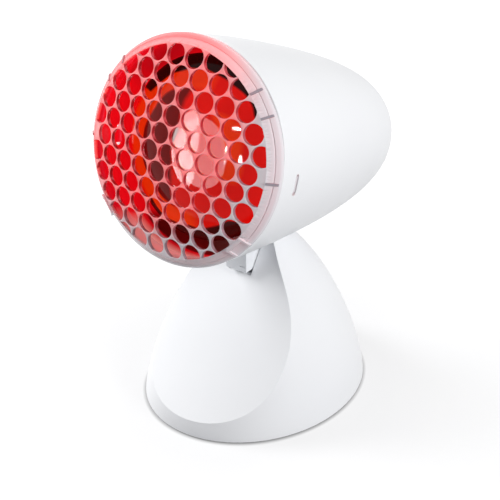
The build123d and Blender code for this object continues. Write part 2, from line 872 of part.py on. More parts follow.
def neck_profile(inset):
    """Side view of the neck: tongue, bridge, hub and notched drum, drawn in by the inset."""
    reach = drum_radius - inset
    spokes = [(pivot_back + 3 * reach * cos(radians(a)), pivot_height + 3 * reach * sin(radians(a)))
              for a in (drum_start, 185.0, 220.0, 255.0, drum_end)]
    wedge = make_face(Polyline((pivot_back, pivot_height), *spokes, (pivot_back, pivot_height)))
    drum = (Pos(pivot_back, pivot_height) * Circle(reach)) & wedge
    front = -neck_front + inset
    back = pivot_back + hub_radius - inset
    low = neck_bottom + inset
    bridge = Pos((front + back) / 2, (low + neck_top) / 2) * Rectangle(back - front, neck_top - low)
    below = Pos(pivot_back + far / 8, pivot_height - far / 8) * Rectangle(far / 4, far / 4)
    hub = Pos(pivot_back, pivot_height) * Circle(hub_radius - inset)
    return bridge - below + hub + drum


def notch_cutters():
    """Five grooves across the drum, one for each step of the tilt."""
    cutters = []
    for i in range(tilt_steps + 1):
        y, z = notch_place(i)
        groove = Rot(0, 90, 0) * Cylinder(detent_radius + spring_gap, 2 * neck_width)
        cutters.append(Pos(0, y, z) * groove)
    return cutters


def make_tilt_neck():
    block = extrude(Plane.YZ * neck_profile(0), neck_width / 2, both=True)
    hollow = extrude(Plane.YZ * neck_profile(neck_wall), neck_width / 2 - neck_wall, both=True)
    hub = Pos(0, pivot_back, pivot_height) * Rot(0, 90, 0) * Cylinder(hub_radius - 1.2, neck_width)
    tongue = Pos(0, -neck_front + tongue_thickness / 2, (neck_bottom + neck_top) / 2)
    tongue = tongue * Box(neck_width, tongue_thickness, neck_top - neck_bottom)
    neck = block - hollow + hub + tongue
    bore = Pos(0, pivot_back, pivot_height) * Rot(0, 90, 0)
    neck = neck - bore * Cylinder(pin_diameter / 2 + pin_running_clearance, far / 10)
    neck = neck - notch_cutters()
    slot = Pos(4.2, -neck_front, neck_bottom + 2.9) * Box(3.4, 1.6, 0.9)
    neck = neck - slot
    seat = head_place() * Pos(0, 0, -seat_depth + far / 2) * Box(far, far, far)
    neck = neck - seat
    return neck + (neck_collar() - head_place() * neck_hollow_in_head())


def neck_hollow_in_head():
    front, back = neck_ends(-neck_wall)
    width = neck_width - 2 * neck_wall
    return Pos(0, (front + back) / 2, -seat_depth - 6) * Box(width, back - front, 40)


def neck_collar():
    """Collar of the neck inside the head, on the inner face of the belly."""
    front, back = neck_ends(collar_margin)
    width = neck_width + 2 * collar_margin - 3
    block = Pos(0, (front + back) / 2, -seat_depth - 10) * Box(width, back - front, 20)
    return head_place() * (block & egg_solid(-head_wall - 0.1))


def make_neck_plate():
    """Steel plate that clamps the neck's collar to the shell's posts."""
    front, back = neck_ends(plate_margin)
    length = back - front
    width = 2 * (neck_screw_spread + plate_margin)
    sheet = RectangleRounded(width, length, 4)
    plate = Pos(0, (front + back) / 2, -seat_depth) * extrude(sheet, plate_thickness)
    plate = plate - Pos(0, (front + back) / 2, -seat_depth) * Box(neck_width - 2 * neck_wall, 22, 8)
    for x, y in neck_screw_places():
        plate = plate - Pos(x, y, -seat_depth) * Cylinder(screw_radius + 0.2, 8)
    return plate


def make_neck_screws():
    level = -seat_depth + plate_thickness
    return Compound(children=[Pos(x, y, level) * screw(short_screw) for x, y in neck_screw_places()])


# ================================================================ assembly

head_pieces = {
    "head_housing": make_head_housing,
    "grille": make_grille,
    "bulb_envelope": make_bulb_envelope,
    "reflector_coating": make_reflector_coating,
    "bulb_stem": make_bulb_stem,
    "filament": make_filament,
    "filament_supports": make_filament_supports,
    "bulb_cap": make_bulb_cap,
    "bulb_insulator": make_bulb_insulator,
    "bulb_contact": make_bulb_contact,
    "lampholder_body": make_lampholder_body,
    "lampholder_sleeve": make_lampholder_sleeve,
    "lampholder_contact": make_lampholder_contact,
    "lampholder_bracket": make_lampholder_bracket,
    "bracket_screws": make_bracket_screws,
    "holder_screws": make_holder_screws,
    "neck_plate": make_neck_plate,
    "neck_screws": make_neck_screws,
}

stand_pieces = {
    "base_shell": make_base_shell,
    "tilt_neck": make_tilt_neck,
    "pivot_pin": make_pivot_pin,
    "bearing_caps": make_bearing_caps,
    "bearing_screws": make_bearing_screws,
    "detent_spring": make_detent_spring,
    "detent_screw": make_detent_screw,
    "bottom_plate": make_bottom_plate,
    "bottom_screws": make_bottom_screws,
    "rubber_feet": make_rubber_feet,
    "ballast_plate": make_ballast_plate,
    "ballast_screws": make_ballast_screws,
    "terminal_block": make_terminal_block,
    "cord_bush": make_cord_bush,
}


def main():
    os.makedirs("parts", exist_ok=True)
    pieces = {name: head_place() * make() for name, make in head_pieces.items()}
    pieces.update({name: make() for name, make in stand_pieces.items()})
    boxes = [piece.bounding_box() for piece in pieces.values()]
    front = min(box.min.Y for box in boxes)
    back = max(box.max.Y for box in boxes)
    top = max(box.max.Z for box in boxes)
    middle = Pos(0, -(front + back) / 2, 0)
    for name, piece in pieces.items():
        export_step(middle * piece, f"parts/{name}.step")
    print("moved back by", round(-(front + back) / 2, 3), "length", round(back - front, 2), "height", round(top, 2))


if __name__ == "__main__":
    main()
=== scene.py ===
import json
import math

import bmesh
import bpy
from mathutils import Matrix, Vector
from mathutils.geometry import interpolate_bezier


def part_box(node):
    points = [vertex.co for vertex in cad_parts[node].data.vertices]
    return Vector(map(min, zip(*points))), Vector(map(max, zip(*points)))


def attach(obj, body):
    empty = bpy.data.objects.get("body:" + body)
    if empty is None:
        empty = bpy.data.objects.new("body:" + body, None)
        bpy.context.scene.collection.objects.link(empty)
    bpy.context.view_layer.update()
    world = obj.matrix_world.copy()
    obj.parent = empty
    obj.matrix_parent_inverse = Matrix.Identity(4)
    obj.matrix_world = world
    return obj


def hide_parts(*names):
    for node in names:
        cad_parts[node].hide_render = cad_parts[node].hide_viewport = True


# Infrared heat lamp, dressed. Metres in the CAD's own frame; sizes below are in millimetres, as in
# the CAD, and mm() brings them to metres. +Z is up and the guard faces -Y. Pieces of the head are
# drawn on the middle of its rim, with +Y towards the tail, and HEAD puts them in place.

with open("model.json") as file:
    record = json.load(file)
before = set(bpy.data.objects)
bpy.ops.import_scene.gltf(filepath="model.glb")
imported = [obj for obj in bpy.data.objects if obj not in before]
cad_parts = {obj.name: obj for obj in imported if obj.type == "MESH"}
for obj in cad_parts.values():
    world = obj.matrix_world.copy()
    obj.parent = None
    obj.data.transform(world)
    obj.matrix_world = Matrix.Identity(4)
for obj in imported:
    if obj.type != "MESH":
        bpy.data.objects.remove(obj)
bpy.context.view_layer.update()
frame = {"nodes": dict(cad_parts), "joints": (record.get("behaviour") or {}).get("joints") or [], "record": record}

# ---- sizes, mm
# The lamp's own sizes are the CAD's. Pairs are a low and a high limit; triples of pairs are limits across,
# back and up.

# egg of the head
RIM_RADIUS = 58.1
EGG_LENGTH = 175.4
EGG_FULLNESS = 1.236
EGG_BLUNTNESS = 3.727
EGG_DROOP = 1.53
HEAD_WALL = 2.2
RIM_BACK = 61.6
RIM_HEIGHT = 165.5
REST_TILT = 12.7
BELLY_GAP = 0.8

# openings and posts of the head
WINDOW_LENGTH = 11.0
WINDOW_WIDTH = 3.0
WINDOW_SETBACK = 14.0
WINDOW_DROP = 5.0
VENT_LENGTH = 26.0
VENT_WIDTH = 2.4
VENT_PITCH = 6.0
VENT_COUNT = 7
VENT_SETBACK = 118.0
VENT_REACH = 40.0
# where the cutters of vents and windows start, clear of the shell
OUTSIDE = 70.0
NECK_OPENING = ((-7.1, 7.1), (-19.8, 25.3), (80, 120))
NECK_POSTS = [(x, y) for x in (-14.5, 14.5) for y in (57.2, 92.8)]
NECK_POST_RADIUS = 3.4
NECK_HOLE = 4.7
SEAT_DEPTH = 40.0
STRAP_BACK = 142.5
STRAP_POSTS = (-24.5, 24.5)
STRAP_POST_RADIUS = 3.6
STRAP_HOLE = 10.0
# how far the neck's and the strap's posts are drawn, to past the wall that they end in
INTO_WALL = (25.0, 40.0)

# hood and its sloping face
FOOT_HALF_WIDTH = 60.9
FOOT_HALF_DEPTH = 72.2
HOOD_HEIGHT = 105.7
HOOD_FLARE = 1.37
HOOD_TAPER = 1.6
HOOD_WALL = 2.5
HOOD_LIFT = 1.0
HOOD_TIP = 2.0
DECK_HEIGHT = 88.0
FACE_START = -78.5
FACE_LEAN = 0.8365
FACE_SAG = 0.00037
FACE_PROUD = 0.0149
FACE_HOLLOW = 0.0646
FACE_HOLLOW_POWER = 6.65

# joint, and what is inside the hood
PIVOT_BACK = 18.0
PIVOT_HEIGHT = 88.0
PIN_RADIUS = 2.5
PIN_HALF_LENGTH = 13.5
PIN_GAP = 0.05
MOUTH_HALF = 7.4
MOUTH = ((-MOUTH_HALF, MOUTH_HALF), (-39.5, 28), (77, 130))
CHEEK = 6.0
CHEEK_HALF_DEPTH = 9.0
CHEEK_UP = (PIVOT_HEIGHT - 10, PIVOT_HEIGHT + 3)
CAP_SCREWS = [(-10.4, 23.75), (10.4, 23.75)]
CAP_HOLE = (77, 85.5)
SPRING_SHELF = ((-5, 5), (-60, -20), (46, 54))
SPRING_SCREWS = [(0, -26)]
SPRING_HOLE = (46.5, 55)
BOSSES = [(36.0, 30.0), (-36.0, 30.0), (34.0, -38.0), (-34.0, -38.0)]
BOSS_RADIUS = 4.0
BOSS_HEIGHT = 56.0
BOSS_HOLE = 12.0
PLATE_FACE = 1.4
PLATE_TOP = 3.4
INLET_HEIGHT = 14.0
BUSH_BORE = 5.55

# screws
SCREW_RADIUS = 1.5
SCREW_HEAD = 2.9
SCREW_HEAD_HEIGHT = 1.4
SCREW_LENGTH = 9.4
SHANK_START = 0.5
# recess, as shares of the head's radius and of its height
RECESS_WIDTH = 1.15
RECESS_ARM = 0.24
RECESS_DEPTH = 1.4

# guard
GUARD_DEPTH = 15.3
GUARD_SPHERE = 185.3
GUARD_THICKNESS = 2.4
MESH_RADIUS = 53.2
HOLE_PITCH = 11.0
HOLE_DIAMETER = 10.2
HOLE_LIP = 0.35
CELLS_ACROSS = 13
# a cell takes part if its middle is this share of the pitch past the mesh, or nearer; it is open well
# inside the mesh, and at the top and bottom also where the ring cuts it
CELL_REACH = 0.65
OPEN_INSIDE = 2.2
SLIVER_REACH = 2.3
SLIVER_SLOPE = 0.8
RING_EDGE = 2.3
BEVEL_OUTER = (57.4, -3.3)
GROOVE_RADIUS = 56.0
GROOVE_WIDTH = 0.9
SPIGOT = (53.9, 55.5, 4.5)
FLATS = ((RIM_RADIUS - 0.5, 80), (-30, 0.5), (-30, 30))
# blocks on the bevel: radii, rise over it, depth under it, and width
RIB = ((MESH_RADIUS + 0.4, RIM_RADIUS - 0.2), 0.9, 0.5, 1.2)
LUG = ((MESH_RADIUS + 0.6, RIM_RADIUS + 0.3), 1.5, 0.5, 11.0)
WELL = ((MESH_RADIUS + 1.8, RIM_RADIUS + 2), 2.5, -0.4, 8.6)
RIB_ANGLES = (43.5, 30.0, -2.5)
LUG_ANGLE = -42.0
CLIP_ANGLE = -4.93
CLIP_ARM = ((53.7, 55.2), (-1, 15.1), (-4, 4))
CLIP_BARB = ((55.1, 56.7), (12.9, 15.1), (-4, 4))

# bulb
BULB_FRONT = -1.3
BULB_RADIUS = 47.5
BULB_CROWN = 18.0
BULB_SPHERE = 76.0
BULB_NECK = 18.0
BULB_TAPER = 13.0
CAP_FRONT = 106.9
CAP_ROOM = 12.5
GLASS = 1.2
LINING = (0.05, 0.32)

# how finely round shapes are divided
FINE_EGG = (193, 141)
PLAIN_EGG = (129, 91)
LATHE_STEPS = 160
RING_STEPS = 240
ROD_STEPS = 48
HOLE_STEPS = 37
HALVINGS = 50

hood_low, hood_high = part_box("base_shell")
HOOD_MIDDLE = (hood_low.y + hood_high.y) / 2
PIVOT = Vector(frame["joints"][0]["pos_m"])
TILT_RANGE = frame["joints"][0]["range_deg"][1]

# kinds of node that are used most
MATH = "ShaderNodeMath"
VECTOR_MATH = "ShaderNodeVectorMath"
MAP_RANGE = "ShaderNodeMapRange"
MIX = "ShaderNodeMixRGB"
NOISE = "ShaderNodeTexNoise"
COMBINE = "ShaderNodeCombineXYZ"
SEPARATE = "ShaderNodeSeparateXYZ"
COORDINATES = "ShaderNodeTexCoord"
POSITION = "GeometryNodeInputPosition"
PRINCIPLED = "ShaderNodeBsdfPrincipled"
OUTPUT = "ShaderNodeOutputMaterial"


def mm(value):
    return value / 1000


# ---- places

STAND = Matrix.Translation((0, HOOD_MIDDLE, 0))
RIM_MIDDLE = Matrix.Translation((0, -mm(RIM_BACK), mm(RIM_HEIGHT)))
HEAD = STAND @ RIM_MIDDLE @ Matrix.Rotation(-math.radians(REST_TILT), 4, "X")
HERE = Matrix.Identity(4)


# ---- nodes and meshes

def linear(hex_colour):
    """An sRGB hex colour as linear RGBA."""
    parts = [int(hex_colour[i:i + 2], 16) / 255 for i in (1, 3, 5)]
    return [c / 12.92 if c <= 0.04045 else ((c + 0.055) / 1.055) ** 2.4 for c in parts] + [1.0]


def adding_to(tree):
    """The function that adds a node to this tree, with its settings, and sets or links its inputs, which are
    given by place or by name."""
    def add(kind, inputs=(), operation=None, **settings):
        made = tree.nodes.new(kind)
        if operation:
            made.operation = operation
        for name, value in settings.items():
            setattr(made, name, value)
        for key, value in inputs.items() if isinstance(inputs, dict) else enumerate(inputs):
            if isinstance(value, bpy.types.Node):
                value = value.outputs[0]
            if isinstance(value, bpy.types.NodeSocket):
                tree.links.new(value, made.inputs[key])
            elif value is not None:
                made.inputs[key].default_value = value
        return made
    return add


def material(name):
    """An empty material, and what adds its nodes."""
    made = bpy.data.materials.new(name)
    made.use_nodes = True
    made.node_tree.nodes.clear()
    return made, adding_to(made.node_tree)


def show(obj):
    bpy.context.scene.collection.objects.link(obj)
    return obj


def mended(mesh):
    """Merges a mesh's doubles, drops what has no face, and turns its faces outwards."""
    work = bmesh.new()
    work.from_mesh(mesh)
    bmesh.ops.remove_doubles(work, verts=work.verts, dist=mm(0.001))
    bmesh.ops.dissolve_degenerate(work, edges=work.edges, dist=mm(0.0005))
    bmesh.ops.delete(work, geom=[e for e in work.edges if e.is_wire], context="EDGES")
    bmesh.ops.delete(work, geom=[v for v in work.verts if not v.link_faces], context="VERTS")
    bmesh.ops.recalc_face_normals(work, faces=work.faces)
    work.to_mesh(mesh)
    work.free()
    return mesh


def mesh_object(name, points, faces, place=HERE):
    """An object from points in mm and faces."""
    mesh = bpy.data.meshes.new(name)
    mesh.from_pydata([[mm(c) for c in p] for p in points], [], faces)
    mesh.transform(place)
    return show(bpy.data.objects.new(name, mended(mesh)))


def settled(obj):
    """Keeps the object's modifiers in its mesh."""
    bpy.context.view_layer.update()
    graph = bpy.context.evaluated_depsgraph_get()
    mesh = bpy.data.meshes.new_from_object(obj.evaluated_get(graph))
    obj.modifiers.clear()
    obj.data = mesh
    return obj


def carve(obj, cutters, operation="DIFFERENCE"):
    """Takes the cutters out of the object, or joins them to it, and deletes them."""
    for cutter in cutters:
        step = obj.modifiers.new("carve", "BOOLEAN")
        step.object = cutter
        step.operation = operation
        step.solver = "EXACT"
        step.material_mode = "TRANSFER"
    settled(obj)
    for cutter in cutters:
        bpy.data.objects.remove(cutter)


def rounded(obj, width, angle):
    """Rounds the edges that are sharper than the angle."""
    step = obj.modifiers.new("round", "BEVEL")
    step.width = mm(width)
    step.segments = 3
    step.limit_method = "ANGLE"
    step.angle_limit = math.radians(angle)
    step.use_clamp_overlap = True
    return settled(obj)


def dressed(obj, finish, angle, body, nodes):
    """Gives a finished piece its material and its smooth shading, puts it on its body, and hides the CAD nodes
    that it stands for.
    """
    if finish is not None:
        obj.data.materials.clear()
        obj.data.materials.append(finish)
        obj.data.polygons.foreach_set("material_index", [0] * len(obj.data.polygons))
    obj.data.shade_smooth()
    obj.data.set_sharp_from_angle(angle=math.radians(angle))
    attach(obj, body)
    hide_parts(*nodes)


def lathe(name, profile, place=HERE, segments=LATHE_STEPS):
    """A closed outline of (radius, distance back) turned about the head's axis."""
    points = []
    faces = []
    count = len(profile)
    for i in range(segments):
        turn = math.tau * i / segments
        points += [(r * math.cos(turn), y, r * math.sin(turn)) for r, y in profile]
    for i in range(segments):
        for j in range(count):
            a, b = i * count + j, i * count + (j + 1) % count
            c, d = (i + 1) % segments * count + (j + 1) % count, (i + 1) % segments * count + j
            faces.append((a, b, c, d))
    return mesh_object(name, points, faces, place)


def prism(name, outline, low, high, place=HERE):
    """A flat outline of (x, y) carried from one height to another."""
    count = len(outline)
    points = [(x, y, z) for z in (low, high) for x, y in outline]
    faces = [tuple(range(count)), tuple(range(2 * count - 1, count - 1, -1))]
    faces += [(i, (i + 1) % count, count + (i + 1) % count, count + i) for i in range(count)]
    return mesh_object(name, points, faces, place)


def slab(name, across, back, up, place=HERE):
    """A box between these limits."""
    outline = [(across[0], back[0]), (across[1], back[0]), (across[1], back[1]), (across[0], back[1])]
    return prism(name, outline, up[0], up[1], place)


def rod(name, radius, start, end):
    """A round bar between two points."""
    start, end = Vector(start), Vector(end)
    turn = (end - start).to_track_quat("Z", "Y").to_matrix().to_4x4()
    angles = [math.tau * i / ROD_STEPS for i in range(ROD_STEPS)]
    circle = [(radius * math.cos(angle), radius * math.sin(angle)) for angle in angles]
    return prism(name, circle, 0, (end - start).length, Matrix.Translation(start / 1000) @ turn)


def upright(name, radius, places, low, high):
    """Round bars that stand on these places (x, y), from one height to another."""
    return [rod(name, radius, (x, y, low), (x, y, high)) for x, y in places]


def about_axis(angle):
    """A turn about the head's axis; 0 degrees is its right-hand side, and 90 its top."""
    return Matrix.Rotation(-math.radians(angle), 4, "Y")


def tree_with(name, sizes, places=False):
    """A geometry tree whose inputs are the named sizes, whole numbers where they are, and the finish."""
    tree = bpy.data.node_groups.new(name, "GeometryNodeTree")
    if places:
        tree.interface.new_socket("Places", in_out="INPUT", socket_type="NodeSocketGeometry")
    for size, value in sizes.items():
        kind = "NodeSocketInt" if isinstance(value, int) else "NodeSocketFloat"
        tree.interface.new_socket(size, in_out="INPUT", socket_type=kind)
    tree.interface.new_socket("Finish", in_out="INPUT", socket_type="NodeSocketMaterial")
    tree.interface.new_socket("Geometry", in_out="OUTPUT", socket_type="NodeSocketGeometry")
    add = adding_to(tree)
    return tree, add, add("NodeGroupInput").outputs


def ended(tree, geometry, finish):
    """Ends a geometry tree: what it made becomes one mesh with the finish."""
    add = adding_to(tree)
    whole = add("GeometryNodeRealizeInstances", [geometry])
    add("NodeGroupOutput", [add("GeometryNodeSetMaterial", {"Geometry": whole, "Material": finish})])
    return tree


def grown(name, tree, sizes, finish, places=(), place=HERE):
    """Runs a geometry tree with these sizes and keeps its result as a plain mesh in its place."""
    mesh = bpy.data.meshes.new(name)
    mesh.from_pydata([[mm(c) for c in p] for p in places], [], [])
    obj = show(bpy.data.objects.new(name, mesh))
    step = obj.modifiers.new("grow", "NODES")
    step.node_group = tree
    for socket in tree.interface.items_tree:
        if socket.in_out == "INPUT" and socket.name != "Places":
            step[socket.identifier] = finish if socket.name == "Finish" else sizes[socket.name]
    settled(obj)
    obj.data.transform(place)
    mended(obj.data)
    return obj


# ---- camera

AZIMUTH = math.radians(35.2)
ELEVATION = math.radians(27.9)
DISTANCE = 550.0
FOCAL_PIXELS = 1139.8
IMAGE = 500
SENSOR = 36
APEX_PIXEL = (166.0, 154.9)


def place_camera():
    """Camera that puts the tip of the guard's dome on its pixel."""
    back = Vector((math.sin(AZIMUTH) * math.cos(ELEVATION), -math.cos(AZIMUTH) * math.cos(ELEVATION),
                   math.sin(ELEVATION)))
    right = Vector((math.cos(AZIMUTH), math.sin(AZIMUTH), 0))
    up = back.cross(right)
    tip = HEAD @ Vector((0, -mm(GUARD_DEPTH), 0))
    across = (IMAGE / 2 - APEX_PIXEL[0]) / FOCAL_PIXELS
    down = (APEX_PIXEL[1] - IMAGE / 2) / FOCAL_PIXELS
    camera = show(bpy.data.objects.new("camera", bpy.data.cameras.new("camera")))
    camera.data.sensor_width = SENSOR
    camera.data.lens = SENSOR * FOCAL_PIXELS / IMAGE
    camera.data.clip_end = 20
    turn = Matrix((right, up, back)).transposed().to_4x4()
    eye = tip + mm(DISTANCE) * (back + across * right + down * up)
    camera.matrix_world = Matrix.Translation(eye) @ turn
    bpy.context.scene.camera = camera


# ---- finishes

# Where the bulb's red light and the shade inside the head are painted on, in mm in the head's frame. The guard is
# painted pink about a middle, a painted glow, and fades to milky with the distance from it; a milky web passes
# less light than a pink one.
PAINTED_GLOW_MIDDLE = (-12, 0, 13)
PAINTED_GLOW_FADES = (44, 62)
MILKY_SHARE = 0.4
FACES_FORWARD = (0.25, 0.6)
RING_STARTS = (52.6, 52.9)
SPIGOT_BEHIND = (-6, -5)
SPIGOT_INSIDE = (54.9, 54.6)
SPIGOT_PALES = (-46, -38)
INSIDE_PALES = (-46, -39)
INSIDE_DEEPENS = (8, 15)
SHADE_BELOW = (-40, -44)
SHADE_BEHIND = (16, 18)

# Painted reflections, what the bulb's mirror would show through the red, each over the last: a colour, and where
# it lies, as measures with a low limit, a high limit and the blur outside them. The noise sways the zones' edges.
SWAY = 9
SWAY_PATCH = 22
PAINTED_REFLECTIONS = (
    ("#ea3a06", ("radius", 33, 42, 3), ("across", -60, 3, 6)),
    ("#ea3a06", ("radius", 24, 30, 3), ("across", 14, 60, 3), ("up", -8, 20, 3)),
    ("#6a0b0a", ("radius", 9, 31, 1.5), ("across", -40, -7, 3)),
    ("#220403", ("skewed", 40.3, 60, 1.2), ("up", 24, 60, 1)),
    ("#3a0605", ("skewed", 41, 60, 1.2), ("up", -60, -32, 1), ("across", -26, 60, 2)),
)


def finish(name, colours, patch, roughness, grain=(0.5, 0.01), stretch=(1, 1, 1), **sockets):
    """A surface whose colour and gloss drift over patches of a size in mm, with a fine grain of a size and
    a depth in mm; a stretch under 1 draws both out along that axis."""
    made, add = material(name)
    place = add(COORDINATES).outputs["Object"]
    place = add("ShaderNodeMapping", {"Vector": place, "Scale": stretch})
    patches = add(NOISE, {"Vector": place, "Scale": 1 / mm(patch), "Detail": 3.0})
    colour = add(MIX, [patches, *map(linear, colours)])
    gloss = add(MAP_RANGE, [patches, 0.3, 0.7, *roughness])
    grains = add(NOISE, {"Vector": place, "Scale": 1 / mm(grain[0]), "Detail": 2.0})
    relief = add("ShaderNodeBump", {"Height": grains, "Strength": 0.6, "Distance": mm(grain[1])})
    shader = add(PRINCIPLED, {"Base Color": colour, "Roughness": gloss, "Normal": relief})
    for socket, value in sockets.items():
        shader.inputs[socket.replace("_", " ")].default_value = value
    add(OUTPUT, {"Surface": shader})
    return made


def on_head(add):
    """Place in the head's own frame: across, back from the rim, and up."""
    place = add(COORDINATES).outputs["Object"]
    return add("ShaderNodeMapping", {"Vector": place, "Location": HEAD.translation,
               "Rotation": (-math.radians(REST_TILT), 0, 0)}, vector_type="TEXTURE")


def from_axis(add, place):
    """Distance from the head's axis."""
    flat = add(VECTOR_MATH, [place, (1, 0, 1)], "MULTIPLY")
    return add(VECTOR_MATH, [flat], "LENGTH").outputs["Value"]


def guard_finish(name, pale, grey, passes):
    """Polycarbonate, moulded clear, that lets this share of the light pass. Its webs are painted with the bulb's
    red as a pink glow and glow themselves, turn milky towards the edge, where no bulb is behind them, and have
    painted shade on the holes' walls."""
    made, add = material(name)
    place = on_head(add)
    radius = from_axis(add, place)
    aside = add(VECTOR_MATH, [place, [mm(c) for c in PAINTED_GLOW_MIDDLE]], "SUBTRACT")
    edge = add(MAP_RANGE, [from_axis(add, aside), *map(mm, PAINTED_GLOW_FADES)], interpolation_type="SMOOTHSTEP")
    forward = HEAD.to_3x3() @ Vector((0, -1, 0))
    normal = add(COORDINATES).outputs["Normal"]
    facing = add(VECTOR_MATH, [normal, forward], "DOT_PRODUCT").outputs["Value"]
    face = add(MAP_RANGE, [facing, *FACES_FORWARD])
    ring = add(MAP_RANGE, [radius, *map(mm, RING_STARTS)])
    plain = add(MATH, [face, ring], "MAXIMUM")
    # the faces: painted pink of the bulb's light, milky towards the edge
    light = add(MIX, [edge, linear(pale), linear(grey)])
    # painted shade: the holes' walls, which don't face forward, are painted darker
    painted_wall_shade = add(MIX, [edge, linear("#c23a44"), linear("#a29aa4")])
    colour = add(MIX, [plain, painted_wall_shade, light])
    # painted glow of the bulb's red light, fading with the pink and left off the holes' walls
    glow = add(MIX, [edge, linear("#ff3c3c"), linear("#000000")])
    glow = add(MIX, [plain, linear("#000000"), glow])

    # the spigot's inner wall is painted with the head's red glow and glows, painted paler at the open bottom where
    # white light falls in
    apart = add(SEPARATE, [place]).outputs
    behind = add(MAP_RANGE, [apart["Y"], *map(mm, SPIGOT_BEHIND)])
    inner = add(MAP_RANGE, [radius, *map(mm, SPIGOT_INSIDE)])
    spigot = add(MATH, [behind, inner], "MULTIPLY")
    high = add(MAP_RANGE, [apart["Z"], *map(mm, SPIGOT_PALES)])
    wall = add(MIX, [high, linear("#f0b6b4"), linear("#e2122a")])
    colour = add(MIX, [spigot, colour, wall])
    glow = add(MIX, [spigot, glow, wall])

    ripple = add(NOISE, {"Vector": place, "Scale": 1 / mm(6), "Detail": 1.0})
    relief = add("ShaderNodeBump", {"Height": ripple, "Strength": 0.4, "Distance": mm(0.04)})
    clear = add(MAP_RANGE, [edge, 0.0, 1.0, passes, passes * MILKY_SHARE])
    shader = add(PRINCIPLED, {
        "Base Color": colour, "Roughness": 0.06, "IOR": 1.5, "Transmission Weight": clear, "Normal": relief,
        "Emission Color": glow, "Emission Strength": 0.22})
    add(OUTPUT, {"Surface": shader})
    return made


def between(add, value, low, high, blur):
    """1 where the value lies between the limits, in mm, and 0 past the blur outside them."""
    enters = add(MAP_RANGE, [value, mm(low - blur), mm(low)])
    leaves = add(MAP_RANGE, [value, mm(high), mm(high + blur), 1.0, 0.0])
    return add(MATH, [enters, leaves], "MULTIPLY")


def bulb_finish():
    """Soda-lime glass with a fired red stain over its mirror: glossy, with painted reflections, orange where the
    mirror would catch light, maroon where it would catch the bulb's own neck, and near black zones of painted dark
    reflection; and with a low glow that reddens what is round it."""
    made, add = material("red_stained_glass")
    place = on_head(add)
    sway = add(NOISE, {"Vector": place, "Scale": 1 / mm(SWAY_PATCH), "Detail": 1.0})
    sway = add(VECTOR_MATH, [sway.outputs["Color"], (0.5, 0.5, 0.5)], "SUBTRACT")
    sway = add(VECTOR_MATH, {0: sway, "Scale": mm(SWAY)}, "SCALE")
    place = add(VECTOR_MATH, [place, sway], "ADD")
    apart = add(SEPARATE, [place]).outputs
    out_from_axis = from_axis(add, place)
    skewed = add(MATH, [apart["X"], 0.04, out_from_axis], "MULTIPLY_ADD")
    measures = {"radius": out_from_axis, "skewed": skewed, "across": apart["X"], "up": apart["Z"]}
    colour = linear("#da1109")
    # painted reflections, each zone laid over the last
    for shade, *limits in PAINTED_REFLECTIONS:
        masks = [between(add, measures[name], *span) for name, *span in limits]
        mask = masks[0]
        for other in masks[1:]:
            mask = add(MATH, [mask, other], "MULTIPLY")
        colour = add(MIX, [mask, colour, linear(shade)])
    shader = add(PRINCIPLED, {
        "Base Color": colour, "Roughness": 0.03, "IOR": 1.5, "Specular IOR Level": 0.08,
        "Emission Color": colour, "Emission Strength": 0.38})
    add(OUTPUT, {"Surface": shader})
    return made


def inside_finish():
    """The shell's ABS inside the head, painted with the bulb's red glow and glowing, paler towards the open
    bottom, where white light falls in, and with a painted shade low down at the back.
    """
    made, add = material("abs_with_painted_red_glow")
    place = on_head(add)
    apart = add(SEPARATE, [place]).outputs
    cloud = add(NOISE, {"Vector": place, "Scale": 1 / mm(18), "Detail": 1.0})
    height = add(MATH, [cloud, mm(6), apart["Z"]], "MULTIPLY_ADD")
    high = add(MAP_RANGE, [height, *map(mm, INSIDE_PALES)])
    deep = add(MAP_RANGE, [apart["Y"], *map(mm, INSIDE_DEEPENS)])
    full = add(MATH, [high, deep], "MAXIMUM")
    # painted red glow, painted paler at the open bottom where white light falls in
    colour = add(MIX, [full, linear("#f2b4ac"), linear("#e60e20")])
    low = add(MAP_RANGE, [height, *map(mm, SHADE_BELOW)])
    back = add(MAP_RANGE, [apart["Y"], *map(mm, SHADE_BEHIND)])
    shade = add(MATH, [low, back], "MULTIPLY")
    # painted shade low down at the back of the head
    colour = add(MIX, [shade, colour, linear("#4a0707")])
    # the painted red is also given off as a glow
    shader = add(PRINCIPLED, {
        "Base Color": colour, "Roughness": 0.3, "IOR": 1.53,
        "Emission Color": colour, "Emission Strength": 0.3})
    add(OUTPUT, {"Surface": shader})
    return made


# ABS, injection moulded in a finely eroded tool: a satin white that spreads each highlight.
shell_white = finish("satin_white_abs", ("#f3f4f6", "#eff0f3"), 40, (0.30, 0.36), (0.5, 0.006), IOR=1.53)
inside_painted_glow = inside_finish()
# the guard's pink is a painted glow of the bulb's red light
guard_clear = guard_finish("clear_polycarbonate", "#ffb2b4", "#efecf1", 0.5)
# The ribs: the same clear finish painted darker, a painted shade of their edges, and passing less light.
rib_painted_dark = guard_finish("polycarbonate_ribs_painted_dark", "#8f6b74", "#9c97a0", 0.2)
bulb_red = bulb_finish()

